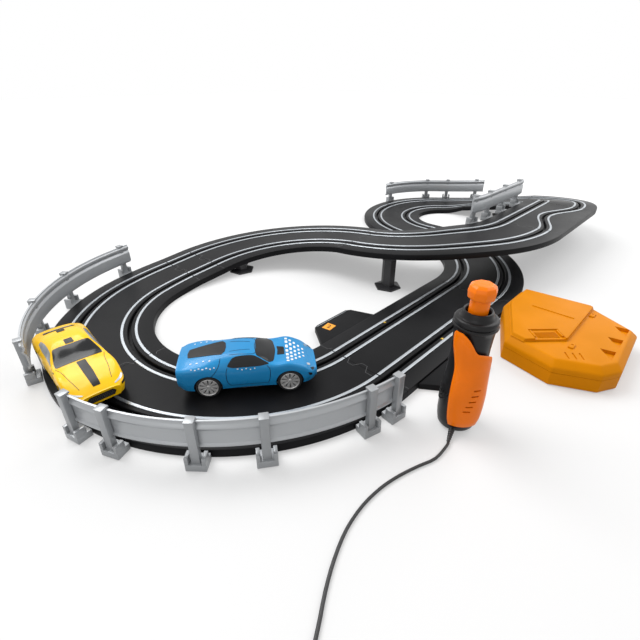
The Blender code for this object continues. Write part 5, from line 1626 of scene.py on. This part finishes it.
class SLOTTRACK_OT_battery_box(bpy.types.Operator):
    """Make the battery box: base, top with its vents, latches and the hinged door"""

    bl_idname = "slot_track.battery_box"
    bl_label = "Battery Box"

    def execute(self, context):
        base = ((0, 10), (10, 0), (BOX_SPLIT, 0))
        self.make_half("battery_box_tray", base, "battery_box_base", BOX_SPLIT, 7)
        low = BOX_SPLIT + BOX_GAP
        top = ((low, 0), (BOX_HEIGHT - BOX_SHOULDER, 0), (BOX_HEIGHT, BOX_SHOULDER))
        cover = self.make_half("battery_box_cover", top, "battery_box_top", low, 14)
        self.cut_nose(cover)
        self.add_latches()
        self.make_door()
        return {"FINISHED"}

    def make_half(self, name, rings, node, split, rounding):
        """Base or top of the case: rounded away from the split, with the bay cut through."""
        bm = bmesh.new()
        add_case(bm, rings)
        away = {vert for vert in bm.verts if abs(vert.co.z - split / TENTHS) > NEARLY}
        round_edges(bm, [edge for edge in bm.edges if away.intersection(edge.verts)], rounding, 3)
        half = new_piece(name, bm, "case_orange", "track", node, place=BOX_PLACE)
        bay = bmesh.new()
        add_slab(bay, *BAY, BOX_PLACE)
        cut_away(half, bay)
        return half

    def cut_nose(self, cover):
        """Vent slots and three sloping triangular dimples on the nose half."""
        bm = bmesh.new()
        for x, y in VENTS:
            add_block(bm, (100, 14, 20), BOX_PLACE @ shift(x, y, BOX_HEIGHT) @ rotation(VENT_TURN), 4)
        for middle in DIMPLES:
            corners = [(middle + x, DIMPLE_Y + y, BOX_HEIGHT - deep) for x, y, deep in DIMPLE]
            low = [bm.verts.new(tenths(*corner)) for corner in corners]
            bmesh.ops.transform(bm, matrix=BOX_PLACE, verts=low + raise_face(bm, low, 40))
        cut_away(cover, bm)

    def add_latches(self):
        """Latch tabs at both ends of the seam, each with a dimple."""
        bm, holes = bmesh.new(), bmesh.new()
        for x, y in LATCHES:
            spot = BOX_PLACE @ shift(x, y, BOX_HEIGHT + 5)
            add_block(bm, (85, 45, 17), spot, 6)
            bmesh.ops.create_cone(
                holes, cap_ends=True, segments=24, radius1=0.0010, radius2=0.0014, depth=0.0016,
                matrix=spot @ shift(12, 0, 10),
            )
        cut_away(new_piece("battery_box_latches", bm, "case_orange", "track"), holes)

    def make_door(self):
        """The door over the rear half, with its finger recess, grip lines and raised rib."""
        bm = bmesh.new()
        add_case(bm, ((DOOR_LOW, BOX_SHOULDER), (DOOR_HIGH, BOX_SHOULDER + 15)))
        for spot, outward in DOOR_CUTS:
            made = bmesh.ops.bisect_plane(
                bm, geom=bm.verts[:] + bm.edges[:] + bm.faces[:], plane_co=tenths(*spot),
                plane_no=outward, clear_outer=True, dist=0.00001,
            )
            bmesh.ops.contextual_create(bm, geom=edges_in(made["geom_cut"]))
        round_edges(bm, bm.edges[:], 6, 3)
        door = new_piece(
            "battery_door_panel", bm, "case_orange", "door", "battery_door", place=BOX_PLACE
        )
        long, wide, deep = RECESS
        spot = BOX_PLACE @ shift(DOOR_CUT_X - RECESS_ALONG, SEAM_Y + RECESS_ALONG, DOOR_HIGH)
        spot = spot @ rotation(math.radians(-45))
        bm = bmesh.new()
        add_block(bm, (long, 2 * wide, 2 * deep), spot, 5)
        cut_away(door, bm)
        bm = bmesh.new()
        for i in range(6):
            add_block(bm, (long - 80, 8, 10), spot @ shift(0, 30 + 17 * i, 1 - deep), 3)
        for end in (-1, 1):
            cheek = spot @ shift(end * (long / 2 - 14), wide * 0.55, -deep / 2)
            add_block(bm, (18, wide * 0.7, deep + 6), cheek, 5)
        add_block(bm, (16, 400, 12), BOX_PLACE @ shift(220, 130, DOOR_HIGH + 2), 5)
        new_piece("battery_door_ribs", bm, "case_orange", "door")


# Stage

WHITE = (1.0, 1.0, 1.0, 1.0)
# The floor glows by this much near the set and this much far from it, between two distances
FLOOR_GLOW = {"From Min": 0.55, "From Max": 1.6, "To Min": 0.34, "To Max": 1.0}
AMBIENT = 0.635
# Place, target, size and power of each light
LIGHTS = {
    "key": ((-0.25, 1.05, 1.45), (0.05, 0.1, 0.0), 1.2, 26.0),
    "fill": ((1.15, -0.35, 1.1), (0.0, 0.05, 0.0), 1.4, 13.0),
    "front": ((-1.3, -0.35, 0.7), (-0.1, 0.0, 0.0), 0.8, 2.6),
}


def seen_by(tree, *rays):
    """1 where any of the named kinds of ray looks, else 0."""
    path = tree.nodes.new("ShaderNodeLightPath").outputs
    seen = 0.0
    for name in rays:
        seen = add_node(tree, "ShaderNodeMath", {0: path[name], 1: seen}, operation="MAXIMUM").outputs[0]
    return seen


class SLOTTRACK_OT_stage(bpy.types.Operator):
    """Set up the floor, the light and the camera"""

    bl_idname = "slot_track.stage"
    bl_label = "Stage"

    def execute(self, context):
        scene = context.scene
        scene.view_settings.view_transform = "Standard"
        self.make_floor()
        self.make_world(scene)
        for name, (place, target, width, power) in LIGHTS.items():
            light = bpy.data.lights.new(f"{name}_light", "AREA")
            light.size = width
            light.energy = power
            aim = Vector(target) - Vector(place)
            self.put(scene, light, place, aim.to_track_quat("-Z", "Y").to_euler())
        settings = scene.slot_stage
        camera = bpy.data.cameras.new("photo_camera")
        camera.lens = settings.lens
        camera.sensor_width = 36.0
        camera.clip_start = 0.005
        turn = (math.pi / 2 - settings.camera_pitch, 0.0, settings.camera_heading - math.pi / 2)
        scene.camera = self.put(scene, camera, settings.camera_place, turn)
        return {"FINISHED"}

    def put(self, scene, data, place, turn):
        obj = bpy.data.objects.new(data.name, data)
        obj.location = place
        obj.rotation_euler = turn
        scene.collection.objects.link(obj)
        return obj

    def make_floor(self):
        """A large floor that looks white to the camera and in reflections."""
        bm = bmesh.new()
        bmesh.ops.create_grid(bm, x_segments=1, y_segments=1, size=6.0)
        bmesh.ops.translate(bm, verts=bm.verts[:], vec=(0.0, 0.0, -0.0002))
        floor = add_object("floor", bm)
        material = bpy.data.materials.new("floor_white")
        material.use_nodes = True
        tree = material.node_tree
        place = tree.nodes.new("ShaderNodeTexCoord").outputs["Object"]
        away = add_node(tree, "ShaderNodeVectorMath", {0: place}, operation="LENGTH").outputs["Value"]
        fade = add_node(tree, "ShaderNodeMapRange", {"Value": away, **FLOOR_GLOW}).outputs["Result"]
        seen = seen_by(tree, "Is Camera Ray", "Is Glossy Ray")
        glow = add_node(tree, "ShaderNodeMath", {0: seen, 1: fade}, operation="MULTIPLY").outputs[0]
        feed(tree, tree.nodes["Principled BSDF"], {
            "Base Color": (*colour_of("slot_stage.floor_colour"), 1.0),
            "Roughness": 0.9,
            "Specular IOR Level": 0.1,
            "Emission Color": WHITE,
            "Emission Strength": glow,
        })
        floor.data.materials.append(material)

    def make_world(self, scene):
        """White to look at, and dimmer as a light."""
        world = bpy.data.worlds.new("studio")
        scene.world = world
        world.use_nodes = True
        tree = world.node_tree
        seen = seen_by(tree, "Is Camera Ray", "Is Glossy Ray", "Is Transmission Ray")
        strength = add_node(tree, "ShaderNodeMapRange", {"Value": seen, "To Min": AMBIENT, "To Max": 1.0})
        feed(tree, tree.nodes["Background"], {"Color": WHITE, "Strength": strength.outputs["Result"]})


SETTINGS = {
    "slot_track": TrackSettings,
    "slot_cars": CarSettings,
    "slot_hand": HandSettings,
    "slot_stage": StageSettings,
}
OPERATORS = (
    SLOTTRACK_OT_stage,
    SLOTTRACK_OT_lead,
    SLOTTRACK_OT_sections,
    SLOTTRACK_OT_rails,
    SLOTTRACK_OT_seams,
    SLOTTRACK_OT_guard_rails,
    SLOTTRACK_OT_power_base,
    SLOTTRACK_OT_supports,
    SLOTTRACK_OT_car_bodies,
    SLOTTRACK_OT_car_panels,
    SLOTTRACK_OT_wheels,
    SLOTTRACK_OT_controller,
    SLOTTRACK_OT_battery_box,
)


class SLOTTRACK_PT_panel(bpy.types.Panel):
    """Lists what makes the set"""

    bl_idname = "SLOTTRACK_PT_panel"
    bl_label = "Slot Track Set"
    bl_space_type = "VIEW_3D"
    bl_region_type = "UI"
    bl_category = "Slot Track"

    def draw(self, context):
        for operator in OPERATORS:
            self.layout.operator(operator.bl_idname)
        for group in SETTINGS:
            settings = getattr(context.scene, group)
            column = self.layout.column()
            for name in settings.__annotations__:
                column.prop(settings, name)


def register():
    for item in (*SETTINGS.values(), *OPERATORS, SLOTTRACK_PT_panel):
        bpy.utils.register_class(item)
    for name, group in SETTINGS.items():
        setattr(bpy.types.Scene, name, PointerProperty(type=group))


def unregister():
    for name in SETTINGS:
        delattr(bpy.types.Scene, name)
    for item in (SLOTTRACK_PT_panel, *reversed(OPERATORS), *SETTINGS.values()):
        bpy.utils.unregister_class(item)


def main():
    register()
    for operator in OPERATORS:
        group, name = operator.bl_idname.split(".")
        getattr(getattr(bpy.ops, group), name)()


if __name__ == "__main__":
    main()
